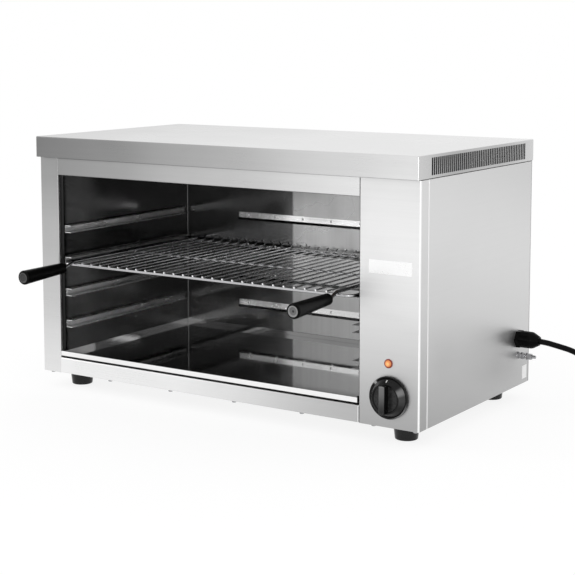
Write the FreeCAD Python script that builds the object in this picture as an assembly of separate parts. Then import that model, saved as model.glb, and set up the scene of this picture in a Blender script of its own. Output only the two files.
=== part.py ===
import FreeCAD, Part
import os
from math import acos, cos, pi, radians, sin, tan

# Counter-top cheese melter: folded casing, open cavity with four rack levels,
# hairpin heating elements under the roof, sliding rack and crumb tray.
# X runs to the right, Y to the back and Z up, in millimetres. The sub-parts are
# worked out with X = 0 at the middle of the casing, Y = 0 at the cover's front
# edge and Z = 0 on the worktop, and shifted to the footprint's centre at the end.

# Overall sizes
cover_width = 800.0
cover_depth = 434.0
overall_height = 470.0

# Sheet metal
casing_sheet = 1.0
liner_sheet = 0.8
casing_bend = 1.5
liner_bend = 3.0
casing_flange = 15.0
seam = 0.3
cut_overrun = 2.0

# Top cover
cover_skirt = 38.0
cover_corner = 2.0
cover_front_lip = 14.0
cover_side_lip = 8.0
cover_front_overhang = 10.0
cover_rear_overhang = 2.5
cover_side_overhang = 1.0
vent_count = 51
vent_slot = 5.0
vent_top_margin = 5.4
vent_bottom_margin = 4.6
vent_front_margin = 42.5
vent_rear_margin = 36.5

# Casing
shadow_gap = 1.5
post_width = 42.5
post_return = 7.0
control_panel_width = 111.0
control_panel_wrap = 27.0
side_seam = 1.0
header_height = 33.0
rail_height = 29.2

# Cavity
cavity_inset = 5.25
cavity_rear_gap = 36.0
cavity_roof_rise = 19.0
liner_front_flange = 20.0
liner_rear_lap = 12.0
roof_edge_height = 9.0
tray_ledge = 16.0

# Rack levels
level_count = 4
level_top_drop = 100.7
level_bottom_rise = 59.05
runner_height = 13.5
runner_reach = 14.5
runner_sheet = 1.0
runner_bend = 0.6
runner_front_setback = 4.0
runner_rear_gap = 10.5
rear_rail_side_margin = 132.0
rear_rail_face = 11.5
rear_rail_lip = 4.4
rear_rail_rise = 3.2

# Rack
frame_rod = 5.0
cross_rod = 4.0
wire_rod = 3.0
wire_count = 26
wire_side_margin = 47.0
rack_side_gap = 4.0
rack_front_stand = 2.0
rack_rear_gap = 19.5
rack_corner = 14.0
wire_front_overhang = 2.5
wire_rear_overhang = 4.0
wire_kick = 8.0
wire_kick_angle = 40.0
wire_kick_bend = 7.0
weld_gap = 0.05
slide_gap = 0.3

# Rack handles
handle_rod = 6.0
handle_side_margin = 26.0
handle_crank_bend = 10.0
handle_crank_front = 2.0
handle_crank_length = 22.0
handle_axis_drop = 7.7
grip_setout = 33.0
grip_length = 104.0
grip_inner_diameter = 19.5
grip_outer_diameter = 25.5
grip_droop = 2.0
grip_inner_edge = 1.5
grip_outer_edge = 3.0
grip_bore_clearance = 0.15
grip_cap_diameter = 18.0
grip_cap_depth = 2.4
grip_cap_dish = 1.2
grip_cap_rim = 1.6
grip_cap_clearance = 0.25

# Crumb tray
tray_gap = 3.8
tray_height = 8.5
tray_side_gap = 1.5
tray_lip_left_gap = 1.5
tray_lip_right_gap = 3.0
tray_rear_gap = 1.0
tray_corner = 3.0

# Heating elements
element_count = 3
element_diameter = 8.0
element_drop = 13.0
element_front_margin = 43.0
element_rear_margin = 45.5
element_left_margin = 22.0
element_collar_diameter = 20.0
element_collar_length = 4.0
element_thread = 14.0
element_thread_length = 18.0
element_pin = 4.0
element_pin_length = 12.0
element_hole_clearance = 0.2
element_nut_across_flats = 19.0
element_nut_height = 5.0
hanger_sheet = 1.2
hanger_side_margin = 167.0
hanger_bore_clearance = 0.3
hanger_lower_margin = 5.5
hanger_end_margin = 14.0
hanger_flange = 12.0

# Control knob and thermostat
knob_from_right = 54.0
knob_height = 78.5
knob_gap = 1.2
knob_flange_diameter = 70.0
knob_flange_height = 4.0
knob_flange_edge = 1.2
knob_step = 1.6
knob_step_drop = 0.8
knob_cone_diameter = 50.0
knob_cone_height = 9.0
knob_cone_edge = 1.5
knob_dish_diameter = 45.0
knob_dish_depth = 1.0
grip_bar_width = 9.8
grip_bar_length = 46.0
grip_bar_height = 13.5
grip_bar_edge = 2.0
knob_bore_depth = 17.0
pointer_width = 1.8
pointer_length = 5.5
pointer_depth = 0.5
shaft_diameter = 6.0
shaft_hole = 9.0
shaft_clearance = 0.05
shaft_seat = 12.0
thermostat_width = 46.0
thermostat_height = 40.0
thermostat_depth = 34.0
thermostat_plate = 2.0
thermostat_plate_margin = 8.0
capillary_diameter = 2.0
capillary_bend = 18.0
capillary_from_right = 24.0
bulb_diameter = 6.0
bulb_length = 90.0
bulb_wall_gap = 16.0
bulb_drop = 26.0
capillary_edge = 6.0

# Pilot lamp
lamp_from_right = 56.0
lamp_above_knob = 55.1
lamp_bezel_diameter = 15.0
lamp_bezel_height = 1.6
lamp_barrel_wall = 0.7
lamp_barrel_length = 30.0
lamp_hole_clearance = 0.2
lens_diameter = 11.6
lens_height = 3.4
lens_clearance = 0.15
lens_seat = 4.0

# Supply gland
gland_from_rear = 49.5
gland_height = 115.0
gland_thread = 25.0
gland_hole_clearance = 0.2
gland_inner_length = 15.0
gland_flange_length = 7.0
gland_across_flats = 29.0
gland_nut_diameter = 30.0
gland_nut_length = 35.0
gland_nut_dome = 13.0
gland_nut_mouth = 16.0
gland_rib_count = 12
gland_rib_radius = 1.1
gland_rib_length = 16.0
gland_bore_clearance = 0.4
locknut_across_flats = 30.0
locknut_height = 6.0

# Earth bonding stud
stud_from_rear = 45.5
stud_below_gland = 31.0
stud_diameter = 6.0
stud_pitch_diameter = 5.35
stud_inner_length = 12.0
stud_reach = 33.0
stud_hole_clearance = 0.3
stud_nut_clearance = 0.03
stud_nut_across_flats = 10.0
stud_nut_height = 5.0
stud_tall_nut_height = 8.0
stud_washer_diameter = 13.0
stud_washer_height = 1.6
stud_terminal_gap = 3.0
stud_end_gap = 0.3

# Terminal block and wires
block_length = 62.0
block_width = 26.0
block_height = 22.0
block_from_right = 36.0
block_from_rear = 120.0
block_slot_width = 7.0
block_slot_depth = 9.0
block_way_count = 5
lead_diameter = 3.5
lead_bend = 9.0
lead_gap = 0.2
bus_overhang = 10.0

# Feet and fasteners
foot_height = 29.5
foot_top_diameter = 45.0
foot_bottom_diameter = 38.0
foot_edge = 2.0
foot_side_inset = 50.0
foot_front_inset = 51.0
foot_rear_inset = 50.0
foot_head_clearance = 0.4
foot_counterbore_depth = 17.0
foot_screw = 6.0
foot_screw_head = 12.0
foot_screw_head_height = 4.0
foot_screw_reach = 7.0
foot_nut_across_flats = 10.0
foot_nut_height = 5.0
screw_diameter = 4.0
screw_head = 8.0
screw_head_height = 2.6
screw_head_edge = 1.0
screw_length = 9.0
screw_clearance = 0.2
front_screw_inset = 6.0
front_screw_first = 18.6
front_screw_row_end = 85.9
front_screw_count = 6
front_screw_last = 9.0
rear_screw_inset = 8.0
rear_screw_count = 3
rear_screw_margin = 60.0

# Supply cord
cord_diameter = 10.0
cord_arc_share = 0.45
coil_outer_radius = 65.0
coil_gap = 0.7
coil_turns = 4.5
coil_samples_per_turn = 4
heading_step_share = 0.001
gap_sample_length = 4.0
climb_share = 0.5
tie_place = 0.75
tie_sheet = 1.2
tie_width = 5.0
tie_gap = 0.4
tie_head_length = 6.0
tie_head_height = 5.0
plug_sleeve_length = 26.0
plug_sleeve_start = 15.0
plug_sleeve_end = 24.0
plug_body_diameter = 38.0
plug_body_length = 36.0
plug_shoulder = 8.0
plug_face_edge = 2.0
plug_flat_height = 34.0
plug_pin_diameter = 4.8
plug_pin_length = 19.0
plug_pin_spacing = 19.0
plug_pin_seat = 6.0

# Points of the cord from the gland to the coil: X and Y from the gland's mouth,
# Z above the worktop
cord_points = [
    (-24, 0, gland_height),
    (7, 0, gland_height),
    (32, 6, 109),
    (55, 22, 100),
    (71, 42, 84),
    (77, 62, 63),
    (79, 83, 41),
    (77, 104, 19.5),
    (73, 131, 6.7),
    (73, 160, 6.7),
]

# Points of the cord from the coil to the plug, in the same way
tail_points = [
    (203, 160, 17.4),
    (203, 137, 17.4),
    (209, 112, 17.4),
    (209, 89, 17.4),
]

# Places worked out from the sizes
cover_half = cover_width / 2
casing_half = cover_half - cover_side_overhang
casing_front = cover_front_overhang
casing_rear = cover_depth - cover_rear_overhang
casing_base = foot_height - casing_sheet
cover_under = overall_height - cover_skirt
side_top = cover_under - shadow_gap
side_rear = casing_rear - casing_sheet
side_inside = casing_half - casing_sheet
opening_left = -casing_half + post_width
opening_right = casing_half - control_panel_width
header_bottom = cover_under - header_height
base_under = casing_base + casing_sheet
base_top = base_under + casing_sheet
rail_top = casing_base + rail_height
tray_bottom = rail_top + tray_gap
ledge_top = tray_bottom - slide_gap
floor_top = rail_top - casing_sheet
cavity_left = opening_left + cavity_inset
cavity_right = opening_right - cavity_inset
cavity_middle = (cavity_left + cavity_right) / 2
cavity_front = casing_front + post_return
cavity_back = casing_rear - cavity_rear_gap
cavity_top = header_bottom + cavity_roof_rise
floor_rear = cavity_back + liner_sheet + liner_rear_lap
seam_front = casing_front + control_panel_wrap + side_seam
vent_height = cover_skirt - vent_top_margin - vent_bottom_margin
vent_pitch = ((cover_depth - vent_front_margin - vent_rear_margin - vent_slot)
              / (vent_count - 1))
level_pitch = ((header_bottom - level_top_drop - tray_bottom - level_bottom_rise)
               / (level_count - 1))
runner_front = cavity_front + runner_front_setback
runner_length = cavity_back - runner_rear_gap - runner_front
cavity_half = (cavity_right - cavity_left) / 2
rear_rail_length = 2 * (cavity_half - rear_rail_side_margin)
element_height = cavity_top - element_drop
element_leg_pitch = ((cavity_back - cavity_front - element_front_margin - element_rear_margin)
                     / (2 * element_count - 1))
rack_half = cavity_half - runner_sheet - rack_side_gap - frame_rod / 2
wire_pitch = 2 * (rack_half - wire_side_margin) / (wire_count - 1)
rack_front = casing_front - rack_front_stand
rack_rear = cavity_back - rack_rear_gap
grip_back = casing_front - grip_setout
knob_x = casing_half - knob_from_right
knob_base = casing_front - knob_gap
lamp_x = casing_half - lamp_from_right
lamp_height = knob_height + lamp_above_knob
lamp_barrel_diameter = lens_diameter + 2 * (lens_clearance + lamp_barrel_wall)
gland_y = casing_rear - gland_from_rear
gland_mouth = casing_half + gland_flange_length + gland_nut_length
gland_bore = cord_diameter + 2 * gland_bore_clearance
stud_y = casing_rear - stud_from_rear
stud_height = gland_height - stud_below_gland
stud_end_start = (casing_half + 3 * stud_washer_height + 2 * stud_nut_height
                  + stud_terminal_gap + stud_tall_nut_height + stud_end_gap)
front_screw_pitch = ((2 * casing_half - front_screw_first - front_screw_row_end)
                     / (front_screw_count - 1))
coil_pitch = cord_diameter + coil_gap
grip_front = grip_back - grip_length * cos(radians(grip_droop))
origin_x = (gland_mouth - cover_half) / 2
origin_y = (cover_depth + grip_front - grip_outer_diameter / 2 * sin(radians(grip_droop))) / 2


def level_height(level):
    return header_bottom - level_top_drop - level_pitch * (level - 1)


# Rack at the second level: its rods stand just above the runners' lower flanges
rack_level = level_count // 2
rod_height = (level_height(rack_level) - runner_height / 2 + runner_sheet
              + slide_gap + frame_rod / 2)
wire_height = rod_height + frame_rod / 2 + wire_rod / 2 + weld_gap
handle_rod_height = rod_height + frame_rod / 2 + handle_rod / 2 + weld_gap
grip_axis_height = handle_rod_height - handle_axis_drop

X_AXIS = FreeCAD.Vector(1, 0, 0)
Y_AXIS = FreeCAD.Vector(0, 1, 0)
Z_AXIS = FreeCAD.Vector(0, 0, 1)


def point(x, y, z):
    return FreeCAD.Vector(x, y, z)


def block(x0, x1, y0, y1, z0, z1):
    return Part.makeBox(x1 - x0, y1 - y0, z1 - z0, point(x0, y0, z0))


def cylinder(base, direction, diameter, length):
    return Part.makeCylinder(diameter / 2, length, base, direction)


def fused(shapes):
    return shapes[0].multiFuse(shapes[1:]).removeSplitter()


def hexagon_prism(base, direction, across_flats, length):
    corner_radius = across_flats / 2 / cos(pi / 6)
    side = Y_AXIS if abs(direction.dot(X_AXIS)) > cos(pi / 4) else X_AXIS
    across = direction.cross(side)
    corners = []
    for number in range(6):
        angle = pi / 3 * number
        corners.append(base + side * corner_radius * cos(angle)
                       + across * corner_radius * sin(angle))
    face = Part.Face(Part.makePolygon(corners + corners[:1]))
    return face.extrude(direction * length)


# Edges of a path through points, with each turn rounded to its own radius
def rounded_edges(points, radii, closed=False):
    count = len(points)
    starts = []
    ends = []
    middles = []
    for number in range(count):
        here = points[number]
        if not closed and number in (0, count - 1) or not radii[number]:
            starts.append(here)
            ends.append(here)
            middles.append(None)
            continue
        arriving = (here - points[number - 1]).normalize()
        leaving = (points[(number + 1) % count] - here).normalize()
        turn = acos(max(-1.0, min(1.0, arriving.dot(leaving))))
        reach = radii[number] * tan(turn / 2)
        bisector = (leaving - arriving).normalize()
        starts.append(here - arriving * reach)
        ends.append(here + leaving * reach)
        middles.append(here + bisector * (radii[number] / cos(turn / 2) - radii[number]))
    edges = []
    for number in range(count):
        if middles[number] is not None:
            edges.append(Part.Arc(starts[number], middles[number], ends[number]).toShape())
        following = (number + 1) % count
        if following or closed:
            edges.append(Part.LineSegment(ends[number], starts[following]).toShape())
    return edges


# Face of a folded sheet's section: the path follows its outer skin, and the sheet
# lies to the left of it (side 1) or to the right (side -1)
def folded_face(path, thickness, bend, side, place):
    count = len(path)
    directions = []
    for number in range(count - 1):
        step_a = path[number + 1][0] - path[number][0]
        step_b = path[number + 1][1] - path[number][1]
        length = (step_a ** 2 + step_b ** 2) ** 0.5
        directions.append((step_a / length, step_b / length))
    offsets = []
    skin_radii = []
    inner_radii = []
    for number in range(count):
        before = directions[max(number - 1, 0)]
        after = directions[min(number, count - 2)]
        cross = before[0] * after[1] - before[1] * after[0]
        share = 1 + before[0] * after[0] + before[1] * after[1]
        normal_a = -(before[1] + after[1]) / share * side
        normal_b = (before[0] + after[0]) / share * side
        offsets.append((path[number][0] + normal_a * thickness,
                        path[number][1] + normal_b * thickness))
        ends_here = number in (0, count - 1)
        convex = cross * side > 0
        skin_radii.append(0 if ends_here else bend + thickness * convex)
        inner_radii.append(0 if ends_here else bend + thickness * (not convex))
    outline = [place(a, b) for a, b in path + offsets[::-1]]
    edges = rounded_edges(outline, skin_radii + inner_radii[::-1], closed=True)
    return Part.Face(Part.Wire(edges))


def seen_from_above(height):
    return lambda a, b: point(a, b, height)


def seen_from_the_side(x):
    return lambda a, b: point(x, a, b)


def seen_from_the_front(y):
    return lambda a, b: point(a, y, b)


# Round tube or rod swept along joined edges
def swept(edges, diameter):
    spine = Part.Wire(edges)
    first = edges[0]
    start = first.valueAt(first.FirstParameter)
    heading = first.tangentAt(first.FirstParameter)
    ring = Part.Wire([Part.makeCircle(diameter / 2, start, heading)])
    shell = Part.BRepOffsetAPI.MakePipeShell(spine)
    shell.add(ring)
    shell.build()
    shell.makeSolid()
    return shell.shape()


def bent_rod(points, bend, diameter):
    return swept(rounded_edges(points, [bend] * len(points)), diameter)


# Solid of revolution: the profile gives distance along the axis and radius
def turned(profile, base, direction, radii=None):
    side = X_AXIS if abs(direction.dot(X_AXIS)) < cos(pi / 4) else Y_AXIS
    across = direction.cross(side).normalize()
    corners = [base + direction * along + across * radius for along, radius in profile]
    edges = rounded_edges(corners, radii or [0] * len(corners), closed=True)
    face = Part.Face(Part.Wire(edges))
    return face.revolve(base, direction, 360)


def make_top_cover():
    outer = block(-cover_half, cover_half, 0, cover_depth, cover_under, overall_height)
    rounded = [edge for edge in outer.Edges
               if edge.BoundBox.ZMax > cover_under + casing_sheet]
    outer = outer.makeFillet(cover_corner, rounded)
    inside = block(-cover_half + casing_sheet, cover_half - casing_sheet,
                   casing_sheet, cover_depth - casing_sheet,
                   cover_under + casing_sheet, overall_height - casing_sheet)
    mouth = block(-cover_half + cover_side_lip, cover_half - cover_side_lip,
                  cover_front_lip, cover_depth - cover_side_lip,
                  cover_under - cut_overrun, cover_under + casing_sheet + cut_overrun)
    slots = []
    slot_top = overall_height - vent_top_margin
    for number in range(vent_count):
        slot_front = vent_front_margin + vent_pitch * number
        for side in (-1, 1):
            middle = side * (cover_half - casing_sheet / 2)
            reach = casing_sheet / 2 + casing_bend
            slots.append(block(middle - reach, middle + reach,
                               slot_front, slot_front + vent_slot,
                               slot_top - vent_height, slot_top))
    return outer.cut([inside, mouth, Part.makeCompound(slots)])


# Inward flange along a folded panel's lower or upper edge
def edge_flanges(x0, x1, y0, y1):
    return [block(x0, x1, y0, y1, casing_base, casing_base + casing_sheet),
            block(x0, x1, y0, y1, side_top - casing_sheet, side_top)]


def make_left_side_panel():
    path = [(-casing_half + casing_flange, side_rear),
            (-casing_half, side_rear),
            (-casing_half, casing_front),
            (opening_left, casing_front),
            (opening_left, cavity_front - seam)]
    face = folded_face(path, casing_sheet, casing_bend, 1, seen_from_above(casing_base))
    skin = face.extrude(Z_AXIS * (side_top - casing_base))
    flanges = edge_flanges(-casing_half + casing_sheet / 2, -casing_half + casing_flange,
                           casing_front + casing_sheet / 2, side_rear - casing_sheet / 2)
    flanges += edge_flanges(-casing_half + casing_flange, opening_left - casing_sheet / 2,
                            casing_front + casing_sheet / 2, casing_front + casing_flange)
    return drilled(fused([skin] + flanges))


def make_right_side_panel():
    path = [(casing_half - casing_flange, seam_front),
            (casing_half, seam_front),
            (casing_half, side_rear),
            (casing_half - casing_flange, side_rear)]
    face = folded_face(path, casing_sheet, casing_bend, 1, seen_from_above(casing_base))
    skin = face.extrude(Z_AXIS * (side_top - casing_base))
    flanges = edge_flanges(casing_half - casing_flange, casing_half - casing_sheet / 2,
                           seam_front + casing_sheet / 2, side_rear - casing_sheet / 2)
    gland_hole = cylinder(point(side_inside - cut_overrun, gland_y, gland_height), X_AXIS,
                          gland_thread + 2 * gland_hole_clearance, casing_sheet + 2 * cut_overrun)
    stud_hole = cylinder(point(side_inside - cut_overrun, stud_y, stud_height), X_AXIS,
                         stud_diameter + 2 * stud_hole_clearance, casing_sheet + 2 * cut_overrun)
    return drilled(fused([skin] + flanges).cut([gland_hole, stud_hole]))


def make_control_panel():
    path = [(opening_right, cavity_front - seam),
            (opening_right, casing_front),
            (casing_half, casing_front),
            (casing_half, casing_front + control_panel_wrap),
            (casing_half - casing_flange, casing_front + control_panel_wrap)]
    face = folded_face(path, casing_sheet, casing_bend, 1, seen_from_above(casing_base))
    skin = face.extrude(Z_AXIS * (side_top - casing_base))
    flanges = edge_flanges(opening_right + casing_sheet / 2, casing_half - casing_sheet / 2,
                           casing_front + casing_sheet / 2, casing_front + casing_flange)
    hole_length = casing_sheet + 2 * cut_overrun
    hole_front = casing_front - cut_overrun
    shaft_bore = cylinder(point(knob_x, hole_front, knob_height), Y_AXIS, shaft_hole, hole_length)
    lamp_bore = cylinder(point(lamp_x, hole_front, lamp_height), Y_AXIS,
                         lamp_barrel_diameter + 2 * lamp_hole_clearance, hole_length)
    return drilled(fused([skin] + flanges).cut([shaft_bore, lamp_bore]))


def make_front_header():
    path = [(cavity_front - seam, header_bottom),
            (casing_front, header_bottom),
            (casing_front, cover_under),
            (casing_front + casing_flange, cover_under)]
    face = folded_face(path, casing_sheet, casing_bend, -1,
                       seen_from_the_side(opening_left + seam))
    return face.extrude(X_AXIS * (opening_right - opening_left - 2 * seam))


def make_bottom_rail():
    path = [(casing_front + casing_flange, casing_base),
            (casing_front, casing_base),
            (casing_front, rail_top),
            (casing_front + casing_flange, rail_top)]
    face = folded_face(path, casing_sheet, casing_bend, -1,
                       seen_from_the_side(opening_left + seam))
    return drilled(face.extrude(X_AXIS * (opening_right - opening_left - 2 * seam)))


def make_rear_panel():
    path = [(casing_rear, casing_base),
            (casing_rear, cover_under),
            (casing_rear - casing_flange, cover_under)]
    face = folded_face(path, casing_sheet, casing_bend, 1,
                       seen_from_the_side(-casing_half + seam))
    panel = face.extrude(X_AXIS * 2 * (casing_half - seam))
    relief_low = cover_under - casing_sheet - casing_bend - seam
    reliefs = [block(side * casing_half - casing_flange - seam,
                     side * casing_half + casing_flange + seam,
                     casing_rear - casing_flange - cut_overrun, side_rear,
                     relief_low, cover_under + cut_overrun) for side in (-1, 1)]
    return drilled(panel.cut(reliefs))


def make_base_panel():
    bend_room = casing_bend + seam
    plate = block(-side_inside + bend_room, side_inside - bend_room,
                  casing_front + casing_sheet + bend_room, side_rear - casing_sheet - seam,
                  base_under, base_top)
    seam_notch = block(casing_half - casing_flange - seam, casing_half,
                       seam_front - side_seam - casing_sheet - bend_room,
                       seam_front + casing_sheet + bend_room,
                       base_under - cut_overrun, base_top + cut_overrun)
    return drilled(plate.cut(post_notches(base_under, base_top) + [seam_notch]))


# Notches that clear the returns of the two front posts
def post_notches(low, high):
    notches = []
    for edge, way in ((opening_left, -1), (opening_right, 1)):
        ends = sorted((edge - way * seam, edge + way * (casing_sheet + casing_bend + seam)))
        notches.append(block(ends[0], ends[1], casing_front, cavity_front,
                             low - cut_overrun, high + cut_overrun))
    return notches


def make_cavity_floor():
    pan_left = cavity_left + tray_ledge
    pan_right = cavity_right - tray_ledge
    pan_rear = cavity_back - tray_ledge
    pan_front = casing_front + casing_sheet + casing_bend + seam
    wall_front = casing_front + casing_flange + seam
    side_outer_left = cavity_left - liner_sheet - liner_front_flange
    side_outer_right = cavity_right + liner_sheet + liner_front_flange
    under = floor_top - liner_sheet
    pieces = [
        block(pan_left, pan_right, pan_front, pan_rear, under, floor_top),
        block(side_outer_left, pan_left, cavity_front, floor_rear, ledge_top - liner_sheet, ledge_top),
        block(pan_right, side_outer_right, cavity_front, floor_rear, ledge_top - liner_sheet, ledge_top),
        block(pan_left, pan_right, pan_rear, floor_rear, ledge_top - liner_sheet, ledge_top),
        block(pan_left - liner_sheet, pan_left, wall_front, pan_rear + liner_sheet, under, ledge_top),
        block(pan_right, pan_right + liner_sheet, wall_front, pan_rear + liner_sheet, under, ledge_top),
        block(pan_left - liner_sheet, pan_right + liner_sheet, pan_rear, pan_rear + liner_sheet,
              under, ledge_top),
        block(side_outer_left, side_outer_right, floor_rear - liner_sheet, floor_rear,
              base_top, ledge_top),
    ]
    return fused(pieces)


def element_leg_places():
    first = cavity_front + element_front_margin
    return [first + element_leg_pitch * leg for leg in range(2 * element_count)]


def make_cavity_liner():
    left_end = cavity_left - liner_sheet - liner_front_flange
    right_end = cavity_right + liner_sheet + liner_front_flange
    path = [(left_end, cavity_front),
            (cavity_left, cavity_front),
            (cavity_left, cavity_back),
            (cavity_right, cavity_back),
            (cavity_right, cavity_front),
            (right_end, cavity_front)]
    face = folded_face(path, liner_sheet, liner_bend, 1, seen_from_above(ledge_top))
    liner = face.extrude(Z_AXIS * (cavity_top - ledge_top))
    hole_start = cavity_right - cut_overrun
    hole_length = liner_sheet + 2 * cut_overrun
    holes = [cylinder(point(hole_start, leg, element_height), X_AXIS,
                      element_thread + 2 * element_hole_clearance, hole_length)
             for leg in element_leg_places()]
    holes.append(cylinder(point(hole_start, bulb_y(), bulb_height()), X_AXIS,
                          capillary_diameter + 2 * element_hole_clearance, hole_length))
    return liner.cut(holes)


def make_cavity_roof():
    left = cavity_left - liner_sheet - liner_front_flange
    right = cavity_right + liner_sheet + liner_front_flange
    front = casing_front + casing_sheet + seam
    plate_top = cavity_top + liner_sheet
    edge_top = plate_top + roof_edge_height
    outer = block(left, right, front, floor_rear, cavity_top, edge_top)
    inner = block(left + liner_sheet, right - liner_sheet, front - cut_overrun,
                  floor_rear - liner_sheet, plate_top, edge_top + cut_overrun)
    return outer.cut([inner] + post_notches(cavity_top, edge_top))


def make_runner(level, side):
    wall = cavity_left if side < 0 else cavity_right
    tip = wall - side * runner_reach
    middle = level_height(level)
    top = middle + runner_height / 2
    bottom = middle - runner_height / 2
    path = [(tip, top), (wall, top), (wall, bottom), (tip, bottom)]
    face = folded_face(path, runner_sheet, runner_bend, -side, seen_from_the_front(runner_front))
    return face.extrude(Y_AXIS * runner_length)


def make_rear_rail(level):
    top = level_height(level) + rear_rail_rise
    bottom = top - rear_rail_face
    lip_step = rear_rail_lip
    path = [(cavity_back, top),
            (cavity_back, bottom),
            (cavity_back - lip_step, bottom - lip_step)]
    face = folded_face(path, runner_sheet, runner_bend, -1,
                       seen_from_the_side(cavity_middle - rear_rail_length / 2))
    return face.extrude(X_AXIS * rear_rail_length)


def make_heating_element(number):
    near = element_leg_places()[2 * number]
    far = near + element_leg_pitch
    turn_x = cavity_left + element_left_margin + element_leg_pitch / 2
    wall = cavity_right
    start = point(wall, near, element_height)
    end = point(wall, far, element_height)
    bend_start = point(turn_x, near, element_height)
    bend_end = point(turn_x, far, element_height)
    bend_tip = point(turn_x - element_leg_pitch / 2, (near + far) / 2, element_height)
    edges = [Part.LineSegment(start, bend_start).toShape(),
             Part.Arc(bend_start, bend_tip, bend_end).toShape(),
             Part.LineSegment(bend_end, end).toShape()]
    pieces = [swept(edges, element_diameter)]
    for leg in (start, end):
        collar_back = leg - X_AXIS * element_collar_length
        pieces.append(hexagon_prism(collar_back, X_AXIS, element_collar_diameter,
                                    element_collar_length))
        pieces.append(cylinder(leg, X_AXIS, element_thread, element_thread_length))
        pin_start = leg + X_AXIS * element_thread_length
        pieces.append(cylinder(pin_start, X_AXIS, element_pin, element_pin_length))
    return fused(pieces)


def make_element_nuts():
    nuts = []
    for leg in element_leg_places():
        base = point(cavity_right + liner_sheet, leg, element_height)
        nut = hexagon_prism(base, X_AXIS, element_nut_across_flats, element_nut_height)
        bore = cylinder(base - X_AXIS * cut_overrun, X_AXIS,
                        element_thread + 2 * stud_nut_clearance,
                        element_nut_height + 2 * cut_overrun)
        nuts.append(nut.cut(bore))
    return Part.makeCompound(nuts)


def make_element_hangers():
    legs = element_leg_places()
    front = legs[0] - hanger_end_margin
    rear = legs[-1] + hanger_end_margin
    hangers = []
    for side in (-1, 1):
        left = cavity_middle + side * (cavity_half - hanger_side_margin)
        plate = block(left, left + hanger_sheet, front, rear,
                      element_height - hanger_lower_margin, cavity_top)
        flange = block(left, left + hanger_flange, front, rear,
                       cavity_top - hanger_sheet, cavity_top)
        bores = [cylinder(point(left - cut_overrun, leg, element_height), X_AXIS,
                          element_diameter + 2 * hanger_bore_clearance,
                          hanger_sheet + 2 * cut_overrun) for leg in legs]
        hangers.append(fused([plate, flange]).cut(bores))
    return Part.makeCompound(hangers)


def make_crumb_tray():
    left = cavity_left + tray_side_gap
    right = cavity_right - tray_side_gap
    rear = cavity_back - tray_rear_gap
    top = tray_bottom + tray_height
    pan = block(left, right, casing_front, rear, tray_bottom, top)
    rear_corners = [edge for edge in pan.Edges
                    if edge.BoundBox.ZLength > tray_height / 2 and edge.BoundBox.YMin > rear - seam]
    pan = pan.makeFillet(tray_corner, rear_corners)
    hollow = block(left + liner_sheet, right - liner_sheet,
                   casing_front + liner_sheet, rear - liner_sheet,
                   tray_bottom + liner_sheet, top + cut_overrun)
    hollow_corners = [edge for edge in hollow.Edges
                      if edge.BoundBox.ZLength > tray_height / 2
                      and edge.BoundBox.YMin > rear - liner_sheet - seam]
    hollow = hollow.makeFillet(tray_corner - liner_sheet, hollow_corners)
    lip = block(opening_left + tray_lip_left_gap, opening_right - tray_lip_right_gap,
                casing_front, casing_front + liner_sheet, tray_bottom, top)
    return fused([pan.cut(hollow), lip])


def make_rack_frame():
    left = cavity_middle - rack_half
    right = cavity_middle + rack_half
    corners = [point(left, rack_front, rod_height),
               point(right, rack_front, rod_height),
               point(right, rack_rear, rod_height),
               point(left, rack_rear, rod_height)]
    edges = rounded_edges(corners, [rack_corner] * len(corners), closed=True)
    ordered = edges[1:] + edges[:1]
    ring = swept(ordered, frame_rod)
    middle_y = (rack_front + rack_rear) / 2
    cross = cylinder(point(left, middle_y, rod_height), X_AXIS, cross_rod, right - left)
    return fused([ring, cross])


def make_rack_wires():
    front = rack_front - wire_front_overhang
    bend_y = rack_rear + wire_rear_overhang
    rise = wire_kick * sin(radians(wire_kick_angle))
    reach = wire_kick * cos(radians(wire_kick_angle))
    first = cavity_middle - wire_pitch * (wire_count - 1) / 2
    path = [point(first, front, wire_height),
            point(first, bend_y, wire_height),
            point(first, bend_y + reach, wire_height + rise)]
    wire = bent_rod(path, wire_kick_bend, wire_rod)
    wires = []
    for number in range(wire_count):
        copy = wire.copy()
        copy.translate(X_AXIS * wire_pitch * number)
        wires.append(copy)
    return Part.makeCompound(wires)


def grip_heading():
    return point(0, -cos(radians(grip_droop)), -sin(radians(grip_droop)))


def grip_base(side):
    return point(cavity_middle + side * (rack_half - handle_side_margin), grip_back,
                 grip_axis_height)


def make_handle_rods():
    rods = []
    for side in (-1, 1):
        base = grip_base(side)
        crank_back = rack_front - handle_crank_front
        crank_front = crank_back - handle_crank_length
        crank_drop = (crank_front - grip_back) * tan(radians(grip_droop))
        end = base + grip_heading() * (grip_length - grip_cap_depth - grip_cap_clearance)
        path = [point(base.x, rack_rear + wire_rear_overhang, handle_rod_height),
                point(base.x, crank_back, handle_rod_height),
                point(base.x, crank_front, grip_axis_height + crank_drop),
                end]
        rods.append(bent_rod(path, handle_crank_bend, handle_rod))
    return Part.makeCompound(rods)


def make_handle_grip(side):
    bore_radius = handle_rod / 2 + grip_bore_clearance
    inner_radius = grip_inner_diameter / 2
    outer_radius = grip_outer_diameter / 2
    cap_radius = grip_cap_diameter / 2 + grip_cap_clearance
    cap_start = grip_length - grip_cap_depth - grip_cap_clearance
    profile = [(0, bore_radius), (0, inner_radius),
               (grip_length, outer_radius), (grip_length, cap_radius),
               (cap_start, cap_radius), (cap_start, bore_radius)]
    radii = [0, grip_inner_edge, grip_outer_edge, 0, 0, 0]
    return turned(profile, grip_base(side), grip_heading(), radii)


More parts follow.
